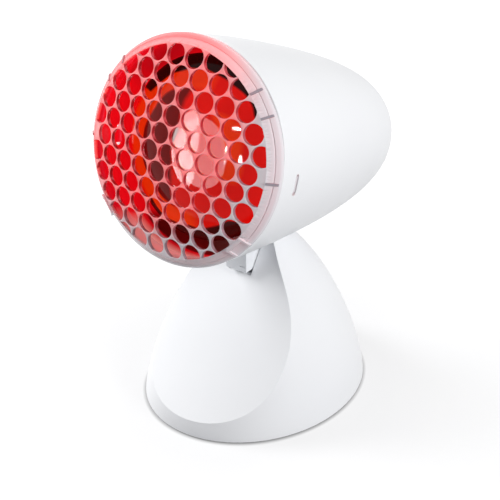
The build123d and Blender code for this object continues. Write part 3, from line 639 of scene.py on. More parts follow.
# One finish for each kind of piece; the hidden ones are finished as such lamps are made.
FINISHES = {
    "shell_white": shell_white,
    "guard": guard_clear,
    "bulb_red": bulb_red,
    # Aluminium, evaporated onto glass: a bright mirror with a faint ripple from the glass under it.
    "bulb_mirror": finish("evaporated_aluminium", ("#f2efec", "#e6e2de"), 12, (0.04, 0.08), (8, 0.02),
                          Metallic=1.0),
    # Lead glass, drawn: clear, with a slight flow along the tube.
    "clear_glass": finish("lead_glass", ("#f4f7f7", "#eaf0ef"), 6, (0.02, 0.05), (3, 0.01), (1, 0.2, 1),
                          Transmission_Weight=0.9, IOR=1.55),
    # Tungsten, drawn and coiled: a matt grey wire.
    "tungsten": finish("tungsten_wire", ("#8a8886", "#6d6b6a"), 0.8, (0.45, 0.6), (0.3, 0.02), Metallic=1.0),
    # Nickel plate on pressed brass: warm, bright, with drawing marks round the shell.
    "nickel": finish("nickel_plate", ("#cfcbc2", "#b9b4ab"), 5, (0.2, 0.34), (0.4, 0.01), (0.2, 1, 0.2),
                     Metallic=1.0),
    # Vitrite, pressed hot: black glass that looks like tar.
    "cap_insulator": finish("vitrite", ("#17131a", "#0b090d"), 2, (0.08, 0.2), (1, 0.02), IOR=1.55),
    # Tin solder, a drop that set: dull silver with a frosted skin.
    "solder": finish("tin_solder", ("#c4c4c6", "#a5a6aa"), 1.2, (0.3, 0.5), (0.5, 0.04), Metallic=1.0),
    # Steatite, glazed: a creamy ceramic under a thin gloss.
    "ceramic": finish("glazed_steatite", ("#efe9da", "#e4dcc9"), 3, (0.12, 0.22), (2, 0.02), Coat_Weight=0.4),
    # Brass, stamped from sheet: yellow, with rolling marks.
    "brass": finish("rolled_brass", ("#d9b765", "#c29f50"), 4, (0.24, 0.36), (0.3, 0.01), (1, 0.15, 1),
                    Metallic=1.0),
    # Steel, zinc plated and passivated: pale blue-grey with cloudy patches.
    "steel": finish("zinc_plated_steel", ("#c6cace", "#a9afb6"), 3, (0.28, 0.46), (0.3, 0.015), Metallic=1.0),
    # ABS from a coarser tool than the shell's: white and more matt.
    "neck_white": finish("matt_white_abs", ("#eceef1", "#e5e7eb"), 15, (0.46, 0.56), (0.35, 0.015), IOR=1.53),
    # Nitrile rubber, moulded: near black, dusty and dull.
    "foot_rubber": finish("nitrile_rubber", ("#26262a", "#343338"), 2, (0.7, 0.85), (0.4, 0.03), IOR=1.52),
    # Cast iron under dip paint: dark grey with the sand's pitted skin showing through.
    "iron": finish("painted_cast_iron", ("#46474a", "#36373a"), 4, (0.5, 0.7), (1.2, 0.12)),
    # Polyamide, moulded unpainted: a warm off-white with a faint sheen.
    "block_plastic": finish("natural_polyamide", ("#e0ddce", "#d4d0bf"), 3, (0.38, 0.5), (0.5, 0.015),
                            IOR=1.53),
}


# ---- slots, screws

def slots_tree(sizes):
    """A row of round-ended slots, each a block to cut with."""
    tree, add, size = tree_with("row_of_slots", sizes)
    outline = add("GeometryNodeCurvePrimitiveQuadrilateral", {"Width": size["Length"], "Height": size["Width"]})
    # just under half, so that the ends stay round and don't meet
    bend = add(MATH, [size["Width"], 0.4999], "MULTIPLY")
    pill = add("GeometryNodeFilletCurve", {"Curve": outline, "Count": 12, "Radius": bend}, mode="POLY")
    sheet = add("GeometryNodeFillCurve", {"Curve": pill}, mode="NGONS")
    raised = add("GeometryNodeExtrudeMesh", {"Mesh": sheet, "Offset Scale": size["Reach"], "Individual": False})
    under = add("GeometryNodeFlipFaces", {"Mesh": sheet})
    block = add("GeometryNodeJoinGeometry", [raised])
    tree.links.new(under.outputs[0], block.inputs[0])
    closed = add("GeometryNodeMergeByDistance", {"Geometry": block, "Distance": mm(0.01)})
    last = add(MATH, [size["Count"], 1.0], "SUBTRACT")
    half = add(MATH, [last, -0.5], "MULTIPLY")
    first = add(MATH, [half, size["Pitch"]], "MULTIPLY")
    row = add("GeometryNodeMeshLine", {
        "Count": size["Count"], "Start Location": add(COMBINE, {"Y": first}),
        "Offset": add(COMBINE, {"Y": size["Pitch"]})})
    copies = add("GeometryNodeInstanceOnPoints", {"Points": row, "Instance": closed})
    return ended(tree, copies, size["Finish"])


def slots(name, length, width, pitch, count, reach, place):
    """A row of slots to cut with."""
    sizes = {"Length": mm(length), "Width": mm(width), "Pitch": mm(pitch), "Count": count, "Reach": mm(reach)}
    return grown(name, slots_tree(sizes), sizes, shell_white, place=place)


def screws_tree(sizes):
    """Countersunk screws with a cross recess, their flat faces down, on the points that come in."""
    tree, add, size = tree_with("cross_screws", sizes, places=True)
    head = add("GeometryNodeMeshCone", {
        "Vertices": 40, "Radius Top": size["Shank radius"], "Radius Bottom": size["Head radius"],
        "Depth": size["Head height"]})
    shank = add("GeometryNodeMeshCylinder", {
        "Vertices": 24, "Radius": size["Shank radius"], "Depth": size["Length"]})
    half = add(MATH, [size["Length"], 0.5], "MULTIPLY")
    raised = add(COMBINE, {"Z": add(MATH, [half, mm(SHANK_START)], "ADD")})
    shank = add("GeometryNodeTransform", {"Geometry": shank, "Translation": raised})
    whole = add("GeometryNodeMeshBoolean", {"Mesh 2": head}, "UNION")
    tree.links.new(shank.outputs[0], whole.inputs["Mesh 2"])
    deep = add(MATH, [size["Head height"], RECESS_DEPTH], "MULTIPLY")
    wide, thin = (add(MATH, [size["Head radius"], share], "MULTIPLY") for share in (RECESS_WIDTH, RECESS_ARM))
    one = add("GeometryNodeMeshCube", [add(COMBINE, [wide, thin, deep])])
    other = add("GeometryNodeMeshCube", [add(COMBINE, [thin, wide, deep])])
    recess = add("GeometryNodeMeshBoolean", {"Mesh 1": whole, "Mesh 2": one}, "DIFFERENCE")
    tree.links.new(other.outputs[0], recess.inputs["Mesh 2"])
    copies = add("GeometryNodeInstanceOnPoints", {"Points": size["Places"], "Instance": recess})
    return ended(tree, copies, size["Finish"])


def bottom_screws():
    """Screws of the bottom plate, at its bosses."""
    sizes = {"Head radius": mm(SCREW_HEAD), "Shank radius": mm(SCREW_RADIUS),
             "Head height": mm(SCREW_HEAD_HEIGHT), "Length": mm(SCREW_LENGTH)}
    places = [(x, y, PLATE_FACE) for x, y in BOSSES]
    screws = grown("bottom_cross_screws", screws_tree(sizes), sizes, FINISHES["steel"], places, STAND)
    dressed(screws, FINISHES["steel"], 30, "stand", ["bottom_screws"])


# ---- head housing

def egg_tree(sizes):
    """Egg shell: a grid rolled round the axis, its radius following the egg's rule from tail to rim."""
    tree, add, size = tree_with("egg_shell", sizes)
    grid = add("GeometryNodeMeshGrid", {
        "Size X": 1.0, "Size Y": 1.0, "Vertices X": size["Around"], "Vertices Y": size["Along"]})
    place = add(SEPARATE, [add(POSITION)]).outputs
    turn = add(MATH, [add(MATH, [place["X"], 0.5], "ADD"), math.tau], "MULTIPLY")
    share = add(MATH, [place["Y"], 0.5], "ADD")
    gone = add(MATH, [share, size["Bluntness"]], "POWER")
    reach = add(MATH, [1.0, gone], "SUBTRACT")
    full = add(MATH, [reach, size["Fullness"]], "POWER")
    left = add(MATH, [1.0, full], "SUBTRACT")
    kept = add(MATH, [left, 0.0], "MAXIMUM")
    root = add(MATH, [1.0, size["Bluntness"]], "DIVIDE")
    slim = add(MATH, [kept, root], "POWER")
    radius = add(MATH, [slim, size["Rim radius"]], "MULTIPLY")
    back = add(MATH, [reach, size["Length"]], "MULTIPLY")
    across, up = (add(MATH, [radius, add(MATH, [turn], turned)], "MULTIPLY")
                  for turned in ("COSINE", "SINE"))
    rolled = add("GeometryNodeSetPosition", {
        "Geometry": grid.outputs["Mesh"], "Position": add(COMBINE, [across, back, up])})
    closed = add("GeometryNodeMergeByDistance", {"Geometry": rolled, "Distance": mm(0.01)})
    return ended(tree, closed, size["Finish"])


def egg(name, grow, fineness, reach, coat=shell_white):
    """Solid egg of the head, grown by some mm, its flat end pushed out in front of the rim."""
    sizes = {"Rim radius": mm(RIM_RADIUS + grow), "Length": mm(EGG_LENGTH + grow), "Fullness": EGG_FULLNESS,
             "Bluntness": EGG_BLUNTNESS, "Around": fineness[0], "Along": fineness[1]}
    obj = grown(name, egg_tree(sizes), sizes, coat)
    work = bmesh.new()
    work.from_mesh(obj.data)
    rim = [e for e in work.edges if e.is_boundary]
    if reach:
        made = bmesh.ops.extrude_edge_only(work, edges=rim)["geom"]
        moved = [g for g in made if isinstance(g, bmesh.types.BMVert)]
        bmesh.ops.translate(work, verts=moved, vec=(0, -mm(reach), 0))
        rim = [e for e in work.edges if e.is_boundary]
    bmesh.ops.holes_fill(work, edges=rim, sides=0)
    bmesh.ops.recalc_face_normals(work, faces=work.faces)
    work.to_mesh(obj.data)
    work.free()
    obj.data.transform(Matrix.Rotation(-math.radians(EGG_DROOP), 4, "X"))
    return obj


def head_housing():
    """Egg shell with its inner posts, the clips' windows, the vents in its belly and the neck's opening."""
    shell = rounded(egg("head_shell", 0.0, FINE_EGG, 0), 0.5, 40)
    # the room's faces bring the painted red glow to the inside of the shell
    room = egg("head_room", -HEAD_WALL, PLAIN_EGG, 3, inside_painted_glow)
    posts = upright("post", NECK_POST_RADIUS, NECK_POSTS, -SEAT_DEPTH, -SEAT_DEPTH - INTO_WALL[0])
    posts += [rod("post", STRAP_POST_RADIUS, (x, STRAP_BACK, 0), (x, STRAP_BACK + INTO_WALL[1], 0))
              for x in STRAP_POSTS]
    carve(room, posts)
    bores = upright("bore", SCREW_RADIUS, NECK_POSTS, -SEAT_DEPTH + 1, -SEAT_DEPTH - NECK_HOLE)
    bores += [rod("bore", SCREW_RADIUS, (x, STRAP_BACK - 1, 0), (x, STRAP_BACK + STRAP_HOLE, 0))
              for x in STRAP_POSTS]
    under_belly = Matrix.Translation((0, mm(VENT_SETBACK), -mm(OUTSIDE)))
    vents = slots("vents", VENT_LENGTH, VENT_WIDTH, VENT_PITCH, VENT_COUNT, VENT_REACH, under_belly)
    beside = Matrix.Translation((mm(OUTSIDE), mm(WINDOW_SETBACK), -mm(WINDOW_DROP)))
    sideways = beside @ Matrix.Rotation(-math.pi / 2, 4, "Y")
    windows = slots("windows", WINDOW_LENGTH, WINDOW_WIDTH, 0.0, 1, 2 * OUTSIDE, sideways)
    neck = slab("neck_opening", *NECK_OPENING, HEAD.inverted() @ STAND)
    carve(shell, [room, vents, windows, neck] + bores)
    shell.data.transform(HEAD)
    dressed(shell, None, 35, "head", ["head_housing"])


# ---- stand hood

def hood_radius(z):
    """Half width of the hood at a height."""
    return FOOT_HALF_WIDTH * (1 - (z / HOOD_HEIGHT) ** HOOD_FLARE) ** (1 / HOOD_TAPER)


def face_line(x, z):
    """Distance back of the sloping front face."""
    bend = FACE_HOLLOW * (z / 100) ** FACE_HOLLOW_POWER - FACE_PROUD
    return FACE_START + FACE_LEAN * z - FACE_SAG * z * z - bend * x * x / 2


def crossing(low, high, past):
    """The two values, close together, between which the test turns true."""
    for _ in range(HALVINGS):
        middle = (low + high) / 2
        low, high = (low, middle) if past(middle) else (middle, high)
    return low, high


def hood_mesh(name, inset, shift, low, high):
    """Closed hood between two heights: its oval side and its sloping face meet on a crisp line."""
    ratio = FOOT_HALF_DEPTH / FOOT_HALF_WIDTH

    def half_axes(z):
        return hood_radius(z) - inset, hood_radius(z) * ratio - inset

    def proud(turn, z):
        """How far the side stands out in front of the face, at a turn from the front."""
        a, b = half_axes(z)
        return face_line(a * math.sin(turn), z) + shift + b * math.cos(turn)

    def edge_turn(z):
        """Turn from the front at which the face meets the side."""
        if proud(0, z) <= 0:
            return 0.0
        return crossing(0.0, math.pi * 0.75, lambda turn: proud(turn, z) <= 0)[0]

    tip = crossing(low, high, lambda z: proud(0, z) > 0)[1]
    plain_rows, face_rows, columns, crowding = 6, 110, 90, 1.8
    rows = [low + (tip - low) * i / plain_rows for i in range(plain_rows)]
    rows += [tip + (high - tip) * (i / face_rows) ** crowding for i in range(face_rows + 1)]
    points = []
    faces = []
    side = []
    front = []
    for z in rows:
        a, b = half_axes(z)
        start = edge_turn(z) if z > tip else 0.0
        line = []
        for i in range(2 * columns + 1):
            turn = start + (math.tau - 2 * start) * i / (2 * columns)
            line.append(len(points))
            points.append((a * math.sin(turn), -b * math.cos(turn), z))
        side.append(line)
        if z >= tip:
            half = a * math.sin(start)
            line = [side[-1][-1]]
            for i in range(1, columns):
                x = -half + 2 * half * i / columns
                line.append(len(points))
                points.append((x, face_line(x, z) + shift, z))
            front.append(line + [side[-1][0]])
    for grid in (side, front):
        for lower, upper in zip(grid, grid[1:]):
            for i in range(len(lower) - 1):
                faces.append((lower[i], lower[i + 1], upper[i + 1], upper[i]))
    faces.append(side[0][:-1])
    faces.append(side[-1] + front[-1][1:-1])
    return mesh_object(name, points, faces)


def inlet_rod():
    """Bore square through the back of the hood for the inlet's bush."""
    ratio = FOOT_HALF_DEPTH / FOOT_HALF_WIDTH
    slope = (hood_radius(INLET_HEIGHT + 1) - hood_radius(INLET_HEIGHT - 1)) * ratio / 2
    out = Vector((0, math.cos(slope), -math.sin(slope)))
    middle = Vector((0, hood_radius(INLET_HEIGHT) * ratio, INLET_HEIGHT))
    return rod("inlet_bore", BUSH_BORE, middle - 10 * out, middle + 10 * out)


def stand_shell():
    """Hood with its sloping face, the head's cradle and mouth, and the bosses and cheeks inside."""
    shell = hood_mesh("stand_shell", 0, 0, HOOD_LIFT, HOOD_HEIGHT - HOOD_TIP)
    behind_face = HOOD_WALL * math.sqrt(1 + FACE_LEAN ** 2)
    room = hood_mesh("stand_room", HOOD_WALL, behind_face, HOOD_LIFT - 1, DECK_HEIGHT)
    inside = upright("boss", BOSS_RADIUS, BOSSES, PLATE_TOP, PLATE_TOP + BOSS_HEIGHT)
    inside.append(slab("spring_shelf", *SPRING_SHELF))
    cheek_back = (PIVOT_BACK - CHEEK_HALF_DEPTH, PIVOT_BACK + CHEEK_HALF_DEPTH)
    inside += [slab("cheek", (x, x + CHEEK), cheek_back, CHEEK_UP) for x in (-MOUTH_HALF - CHEEK, MOUTH_HALF)]
    carve(room, inside)
    cutters = [room, slab("mouth", *MOUTH)]
    cutters += upright("boss_bore", SCREW_RADIUS, BOSSES, PLATE_TOP - 1, PLATE_TOP + BOSS_HOLE)
    seat_half = PIN_HALF_LENGTH + PIN_GAP
    cutters.append(rod("pin_seat", PIN_RADIUS + PIN_GAP, (-seat_half, PIVOT_BACK, PIVOT_HEIGHT),
                       (seat_half, PIVOT_BACK, PIVOT_HEIGHT)))
    cutters.append(slab("pin_way", (-PIN_HALF_LENGTH, PIN_HALF_LENGTH),
                        (PIVOT_BACK - PIN_RADIUS, PIVOT_BACK + PIN_RADIUS), (CAP_HOLE[0], PIVOT_HEIGHT)))
    cutters += upright("cap_bore", SCREW_RADIUS, CAP_SCREWS, *CAP_HOLE)
    cutters += upright("spring_bore", SCREW_RADIUS, SPRING_SCREWS, *SPRING_HOLE)
    cutters.append(inlet_rod())
    for angle in (0, TILT_RANGE / 2, TILT_RANGE):
        belly = egg(f"belly_{angle:.0f}", BELLY_GAP, PLAIN_EGG, 4)
        tilt = Matrix.Rotation(-math.radians(angle), 4, "X")
        turn = Matrix.Translation(PIVOT) @ tilt @ Matrix.Translation(-PIVOT)
        belly.data.transform(STAND.inverted() @ turn @ HEAD)
        cutters.append(belly)
    carve(shell, cutters)
    shell.data.transform(STAND)
    dressed(shell, shell_white, 20, "stand", ["base_shell"])


# ---- guard

def guard_tree(sizes):
    """Domed lattice: one round-lipped cell, repeated on a hexagonal grid, trimmed to a circle and bent onto
    the dome. Cells that would meet the ring stay blind."""
    tree, add, size = tree_with("guard_lattice", sizes)

    # one cell: rows of points from its outer edge on the front, over the lip, to its outer edge on the back
    rows = 8
    last_row = float(rows - 1)
    cell = add("GeometryNodeMeshGrid", {
        "Size X": 1.0, "Size Y": 1.0, "Vertices X": size["Around"], "Vertices Y": rows})
    cell = add("GeometryNodeStoreNamedAttribute", {
        "Geometry": cell, "Name": "own_place", "Value": add(POSITION)}, data_type="FLOAT_VECTOR")

    # the grid of cells, without those whose hexagon would lie wholly past the mesh
    across = add(MATH, [size["Cells"], 1.0], "SUBTRACT")
    grid = add("GeometryNodeMeshGrid", {
        "Size X": across, "Size Y": across, "Vertices X": size["Cells"], "Vertices Y": size["Cells"]})
    step = add(SEPARATE, [add(POSITION)]).outputs
    column = add(MATH, [step["X"]], "ROUND")
    row = add(MATH, [step["Y"]], "ROUND")
    odd = add(MATH, [row, 2.0], "FLOORED_MODULO")
    moved = add(MATH, [odd, 0.5, column], "MULTIPLY_ADD")
    middle_x = add(MATH, [moved, size["Pitch"]], "MULTIPLY")
    row_pitch = add(MATH, [size["Pitch"], math.sqrt(3) / 2], "MULTIPLY")
    middle_z = add(MATH, [row, row_pitch], "MULTIPLY")
    spread = add("GeometryNodeSetPosition", {
        "Geometry": grid, "Position": add(COMBINE, {"X": middle_x, "Z": middle_z})})
    spread = add("GeometryNodeStoreNamedAttribute", {
        "Geometry": spread, "Name": "middle", "Value": add(POSITION)}, data_type="FLOAT_VECTOR")
    out = add(VECTOR_MATH, [add(POSITION)], "LENGTH")
    limit = add(MATH, [size["Pitch"], CELL_REACH, size["Mesh radius"]], "MULTIPLY_ADD")
    beyond = add(MATH, [out.outputs["Value"], limit], "GREATER_THAN")
    kept = add("GeometryNodeDeleteGeometry", {"Geometry": spread, "Selection": beyond})
    cells = add("GeometryNodeInstanceOnPoints", {"Points": kept, "Instance": cell})
    cells = add("GeometryNodeRealizeInstances", [cells])

    # where a point lies in its cell
    own, middle = (add("GeometryNodeInputNamedAttribute", {"Name": name}, data_type="FLOAT_VECTOR")
                   for name in ("own_place", "middle"))
    own = add(SEPARATE, [own]).outputs
    turn = add(MATH, [own["X"], math.tau, math.pi], "MULTIPLY_ADD")
    line = add(MATH, [own["Y"], last_row, last_row / 2], "MULTIPLY_ADD")
    line = add(MATH, [line], "ROUND")
    mirror = add(MATH, [last_row, line], "SUBTRACT")
    inwards = add(MATH, [line, mirror], "MINIMUM")
    on_back = add(MATH, [line, last_row / 2], "GREATER_THAN")
    on_edge = add(MATH, [inwards, 0.5], "LESS_THAN")
    lip = add(MATH, [inwards, 1.0], "SUBTRACT")
    lip = add(MATH, [lip, 0.0], "MAXIMUM")
    lip = add(MATH, [lip, math.pi / 4], "MULTIPLY")

    # cells that are open: all that clear the ring, and at the top and bottom those that are cut by it too
    out = add(VECTOR_MATH, [middle], "LENGTH").outputs["Value"]
    sure = add(MATH, [out, size["Open radius"]], "LESS_THAN")
    reach = add(MATH, [out, size["Sliver radius"]], "LESS_THAN")
    side = add(MATH, [add(SEPARATE, [middle]).outputs["X"]], "ABSOLUTE")
    slope = add(MATH, [out, SLIVER_SLOPE], "MULTIPLY")
    steep = add(MATH, [side, slope], "LESS_THAN")
    sliver = add(MATH, [reach, steep], "MULTIPLY")
    is_open = add(MATH, [sure, sliver], "MAXIMUM")

    # radius in the cell: the hexagon's on its edge, the hole's and its lip's inside
    part = add(MATH, [turn, math.pi / 6], "ADD")
    part = add(MATH, [part, math.pi / 3], "FLOORED_MODULO")
    part = add(MATH, [part, math.pi / 6], "SUBTRACT")
    part = add(MATH, [part], "COSINE")
    half_pitch = add(MATH, [size["Pitch"], 0.5], "MULTIPLY")
    hexagon = add(MATH, [half_pitch, part], "DIVIDE")
    swell = add(MATH, [1.0, add(MATH, [lip], "SINE")], "SUBTRACT")
    hole = add(MATH, [swell, size["Lip"], size["Hole radius"]], "MULTIPLY_ADD")
    hole = add(MATH, [hole, is_open], "MULTIPLY")
    radius = add("ShaderNodeMix", [on_edge, None, hole, hexagon])
    sink = add(MATH, [1.0, add(MATH, [lip], "COSINE")], "SUBTRACT")
    sink = add(MATH, [sink, size["Lip"]], "MULTIPLY")
    sink = add(MATH, [sink, is_open], "MULTIPLY")
    risen = add(MATH, [size["Thickness"], sink], "SUBTRACT")
    depth = add("ShaderNodeMix", [on_back, None, sink, risen])

    # flat place, held inside the circle, and bent onto the dome
    cosine, sine = (add(MATH, [turn], turned) for turned in ("COSINE", "SINE"))
    away = add(COMBINE, {"X": cosine, "Z": sine})
    away = add(VECTOR_MATH, {0: away, "Scale": radius}, "SCALE")
    flat = add(VECTOR_MATH, [middle, away], "ADD")
    far = add(VECTOR_MATH, [flat], "LENGTH").outputs["Value"]
    ratio = add(MATH, [size["Mesh radius"], far], "DIVIDE", use_clamp=True)
    held = add(VECTOR_MATH, {0: flat, "Scale": ratio}, "SCALE")
    held = add(SEPARATE, [held]).outputs
    held_radius = add(MATH, [far, size["Mesh radius"]], "MINIMUM")
    ball = add(MATH, [size["Sphere"], depth], "SUBTRACT")
    ball = add(MATH, [ball, 2.0], "POWER")
    arm = add(MATH, [held_radius, 2.0], "POWER")
    arm = add(MATH, [add(MATH, [ball, arm], "SUBTRACT")], "SQRT")
    back = add(MATH, [size["Centre back"], arm], "SUBTRACT")
    bent = add("GeometryNodeSetPosition", {
        "Geometry": cells, "Position": add(COMBINE, [held["X"], back, held["Z"]])})
    closed = add("GeometryNodeMergeByDistance", {"Geometry": bent, "Distance": mm(0.005)})
    return ended(tree, closed, size["Finish"])


def guard_line(r, sphere=GUARD_SPHERE):
    """Distance back of the dome at a radius."""
    return GUARD_SPHERE - GUARD_DEPTH - math.sqrt(sphere ** 2 - r ** 2)


def bevel_line(r):
    """Distance back of the ring's bevel at a radius."""
    start = guard_line(MESH_RADIUS)
    return start + (BEVEL_OUTER[1] - start) * (r - MESH_RADIUS) / (BEVEL_OUTER[0] - MESH_RADIUS)


def ring_profile():
    """Closed section of the ring: bevel with its groove, edge, and spigot, with small breaks on its corners."""
    foot = MESH_RADIUS - 0.3
    inner, outer, depth = SPIGOT
    slope = Vector((BEVEL_OUTER[0] - MESH_RADIUS, BEVEL_OUTER[1] - guard_line(MESH_RADIUS))).normalized()
    inwards = Vector((-slope.y, slope.x))
    middle = Vector((GROOVE_RADIUS, bevel_line(GROOVE_RADIUS)))
    groove = []
    for i in range(9):
        turn = math.pi * i / 8
        groove.append(tuple(middle + GROOVE_WIDTH / 2 * (math.sin(turn) * inwards - math.cos(turn) * slope)))
    return [
        (foot, guard_line(foot) + 0.03), (MESH_RADIUS, guard_line(MESH_RADIUS)), *groove, BEVEL_OUTER,
        (RIM_RADIUS - 0.12, -RING_EDGE - 0.25), (RIM_RADIUS, -RING_EDGE + 0.1), (RIM_RADIUS, -0.35),
        (RIM_RADIUS - 0.35, -0.02), (outer, -0.02), (outer, depth - 0.3), (outer - 0.3, depth), (inner, depth),
        (inner, -RING_EDGE), (foot, guard_line(foot, GUARD_SPHERE - GUARD_THICKNESS) - 0.03)]


def across_bevel(name, radii, rise, sunk, width, place):
    """Block on the bevel between two radii, with its top parallel to the bevel."""
    outline = [(r, bevel_line(r) - rise) for r in radii] + [(r, bevel_line(r) + sunk) for r in reversed(radii)]
    return prism(name, outline, -width / 2, width / 2, place)


def guard():
    """Domed lattice with its ring, ribs, catches and clips, all one moulding."""
    sizes = {"Pitch": mm(HOLE_PITCH), "Hole radius": mm(HOLE_DIAMETER / 2), "Mesh radius": mm(MESH_RADIUS),
             "Open radius": mm(MESH_RADIUS - OPEN_INSIDE), "Sliver radius": mm(MESH_RADIUS + SLIVER_REACH),
             "Sphere": mm(GUARD_SPHERE), "Centre back": mm(GUARD_SPHERE - GUARD_DEPTH),
             "Thickness": mm(GUARD_THICKNESS), "Lip": mm(HOLE_LIP), "Cells": CELLS_ACROSS,
             "Around": HOLE_STEPS}
    lattice = grown("guard_lattice", guard_tree(sizes), sizes, guard_clear)
    ring = lathe("ring", ring_profile(), segments=RING_STEPS)
    ring.data.materials.append(guard_clear)
    flats, details, wells = [], [], []
    for mirror in (False, True):
        def placed(angle):
            return about_axis(180 - angle if mirror else angle)
        flats.append(slab("flat", *FLATS, placed((RIB_ANGLES[0] + RIB_ANGLES[1]) / 2)))
        ribs = [across_bevel("rib", *RIB, placed(angle)) for angle in RIB_ANGLES]
        catches = [across_bevel("lug", *LUG, placed(LUG_ANGLE))]
        catches += [slab("clip", *limits, placed(CLIP_ANGLE)) for limits in (CLIP_ARM, CLIP_BARB)]
        wells.append(across_bevel("well", *WELL, placed(LUG_ANGLE)))
        for blocks, coat in ((ribs, rib_painted_dark), (catches, guard_clear)):
            for block in blocks:
                block.data.materials.append(coat)
            details += blocks
    carve(ring, flats)
    carve(ring, details, "UNION")
    carve(ring, wells)
    carve(lattice, [ring], "UNION")
    lattice.name = "guard"
    lattice.data.transform(HEAD)
    lattice.visible_glossy = False
    dressed(lattice, None, 40, "head", ["grille"])


# ---- bulb

# Cards that the bulb alone mirrors: the pale disc on its face, and the glints of a lit room.
# Name, place and size in metres, watts.
CARDS = (
    ("card_left", (-0.8, -1.2, 0.17), (0.62, 1.36), 100),
    ("card_middle", (-0.5, -1.4, 0.18), (1.2, 1.36), 95),
    ("card_strip", (0.04, -1.45, 0.3), (0.02, 0.4), 9),
    ("card_window", (0.17, -1.3, 0.78), (0.2, 0.06), 12),
    ("card_corner", (0.33, -1.4, 0.2), (0.07, 0.25), 12),
)


def bulb_line(inset):
    """Outside of the bulb's glass, drawn in by the inset, from its front to the cap."""
    half = BULB_RADIUS - inset
    sphere = BULB_SPHERE - inset
    shoulder = half * 0.8
    widest = BULB_FRONT + BULB_CROWN
    front_points, flank_points = 24, 15

    def front_at(r):
        return BULB_FRONT + inset + sphere - math.sqrt(sphere ** 2 - r ** 2)

    line = [(shoulder * i / front_points, front_at(shoulder * i / front_points)) for i in range(front_points)]
    # knots of the flank, each with the reach of its handles
    knots = [((shoulder, front_at(shoulder)), (3.4, 1.9)), ((half, widest), (0, 4.0)),
             ((half * 0.9, widest + 18), (-2.8, 6.8)), ((half * 0.66, widest + 40), (-4.2, 9.6)),
             ((BULB_NECK - inset, CAP_FRONT - BULB_TAPER), (0, 9.0))]
    knots = [(Vector((*knot, 0)), Vector((*handle, 0))) for knot, handle in knots]
    for (first, leave), (last, reach) in zip(knots, knots[1:]):
        bend = interpolate_bezier(first, first + leave, last - reach, last, flank_points)
        line += [(p.x, p.y) for p in bend[:-1]]
    end = CAP_ROOM - inset
    return line + [(BULB_NECK - inset, CAP_FRONT - BULB_TAPER), (end, CAP_FRONT + 0.5), (end, CAP_FRONT + 6)]


def bulb():
    """Red glass with its mirrored lining behind the widest line."""
    glass = lathe("bulb_glass", bulb_line(0) + bulb_line(GLASS)[::-1], HEAD)
    dressed(glass, bulb_red, 50, "head", ["bulb_envelope"])
    mirrors = bpy.data.collections.new("bulb_only")
    mirrors.objects.link(glass)
    for card in CARDS:
        softbox(*card, mirrors)
    start, end = BULB_FRONT + BULB_CROWN + 1, CAP_FRONT - 15
    walls = [[p for p in bulb_line(GLASS + gap) if start < p[1] < end] for gap in LINING]
    lining = lathe("bulb_lining", walls[0] + walls[1][::-1], HEAD)
    dressed(lining, FINISHES["bulb_mirror"], 50, "head", ["reflector_coating"])


# ---- floor, light and background

# The floor's own light, which the camera alone sees, grows with the distance from the stand's middle, in
# radii of its foot: from, to, and what it grows from and to. Held low under the foot, it makes a painted shadow.
PAINTED_SHADOW_UNDER_FOOT = (0.98, 1.03, 0.15, 1.0)
OPEN_FLOOR = (1.2, 5.5, 0.72, 1.0)
FLOOR_HALF = 4000
AMBIENT = 0.27

# Lamps of the studio: name, place and size in metres, watts.
SOFTBOXES = (
    ("softbox_top", (0.0, -0.35, 1.5), (0.8, 0.8), 1),
    ("softbox_right", (1.2, -0.15, 0.6), (0.7, 0.7), 13.2),
    ("softbox_back", (-0.1, 1.4, 0.8), (0.7, 0.7), 3),
    ("softbox_left", (-1.15, -0.36, 0.82), (0.7, 0.7), 21.5),
)
AIM = (0, 0, 0.14)


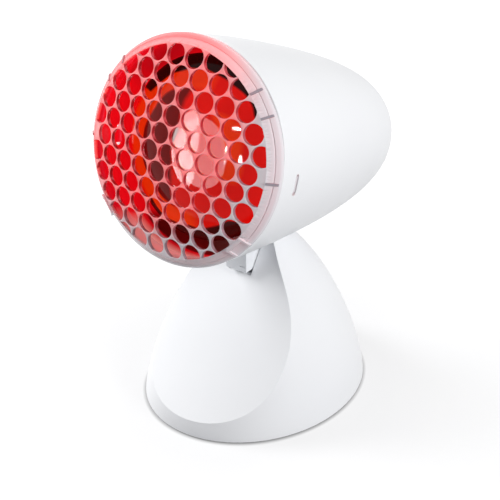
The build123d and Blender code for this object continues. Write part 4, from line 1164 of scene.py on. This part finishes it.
def stage():
    """Pale floor that renders white where nothing shades it, with a painted shadow under the foot, and a plain
    white surrounding.
    """
    made, add = material("studio_floor")
    lit = add("ShaderNodeBsdfDiffuse", {"Color": linear("#717277")})
    seen = add("ShaderNodeBsdfDiffuse", {"Color": linear("#828284")})
    place = add("ShaderNodeMapping", {
        "Vector": add(COORDINATES).outputs["Object"], "Location": STAND.translation,
        "Scale": (mm(FOOT_HALF_WIDTH), mm(FOOT_HALF_DEPTH), 1)}, vector_type="TEXTURE")
    away = add(VECTOR_MATH, [place], "LENGTH").outputs["Value"]
    # painted shadow: the floor's own light is held low under the foot
    under = add(MAP_RANGE, [away, *PAINTED_SHADOW_UNDER_FOOT])
    clear = add(MAP_RANGE, [away, *OPEN_FLOOR])
    strength = add(MATH, [under, clear], "MULTIPLY")
    glow = add("ShaderNodeEmission", {"Color": (1, 1, 1, 1), "Strength": strength})
    seen = add("ShaderNodeAddShader", [seen, glow])
    camera_ray = add("ShaderNodeLightPath").outputs["Is Camera Ray"]
    add(OUTPUT, {"Surface": add("ShaderNodeMixShader", [camera_ray, lit, seen])})
    corners = [(x * FLOOR_HALF, y * FLOOR_HALF, 0) for x, y in ((-1, -1), (1, -1), (1, 1), (-1, 1))]
    floor = mesh_object("studio_floor_sheet", corners, [(0, 1, 2, 3)])
    floor.data.materials.append(made)
    floor.visible_glossy = False

    world = bpy.data.worlds.new("studio")
    bpy.context.scene.world = world
    world.use_nodes = True
    world.node_tree.nodes.clear()
    add = adding_to(world.node_tree)
    ray = add("ShaderNodeLightPath").outputs
    direct = add(MATH, [ray["Is Camera Ray"], ray["Is Glossy Ray"]], "MAXIMUM")
    direct = add(MATH, [direct, ray["Is Transmission Ray"]], "MAXIMUM")
    strength = add(MAP_RANGE, [direct, 0.0, 1.0, AMBIENT, 1.0])
    light = add("ShaderNodeBackground", {"Color": (1, 1, 1, 1), "Strength": strength})
    add("ShaderNodeOutputWorld", {"Surface": light})


def softbox(name, place, size, watts, mirrors=None):
    """Area light. One that is given a collection is a card: only what is in it mirrors the card, which lights
    nothing. The others light everything and show in no mirror."""
    data = bpy.data.lights.new(name, "AREA")
    data.shape = "ELLIPSE" if mirrors else "RECTANGLE"
    data.size, data.size_y = size
    data.energy = watts
    obj = show(bpy.data.objects.new(name, data))
    turn = (Vector(AIM) - Vector(place)).to_track_quat("-Z", "Y").to_matrix().to_4x4()
    obj.matrix_world = Matrix.Translation(place) @ turn
    obj.visible_camera = False
    obj.visible_glossy = mirrors is not None
    if mirrors:
        obj.visible_diffuse = False
        obj.light_linking.receiver_collection = mirrors
        obj.light_linking.blocker_collection = mirrors


place_camera()
stage()
for lamp in SOFTBOXES:
    softbox(*lamp)
for name, obj in frame["nodes"].items():
    slot = next(s["material_slot"] for s in frame["record"]["subparts"] if s["node"] == name)
    obj.data.materials.clear()
    obj.data.materials.append(FINISHES[slot])
head_housing()
stand_shell()
guard()
bulb()
bottom_screws()

bpy.context.scene.view_settings.view_transform = "Standard"
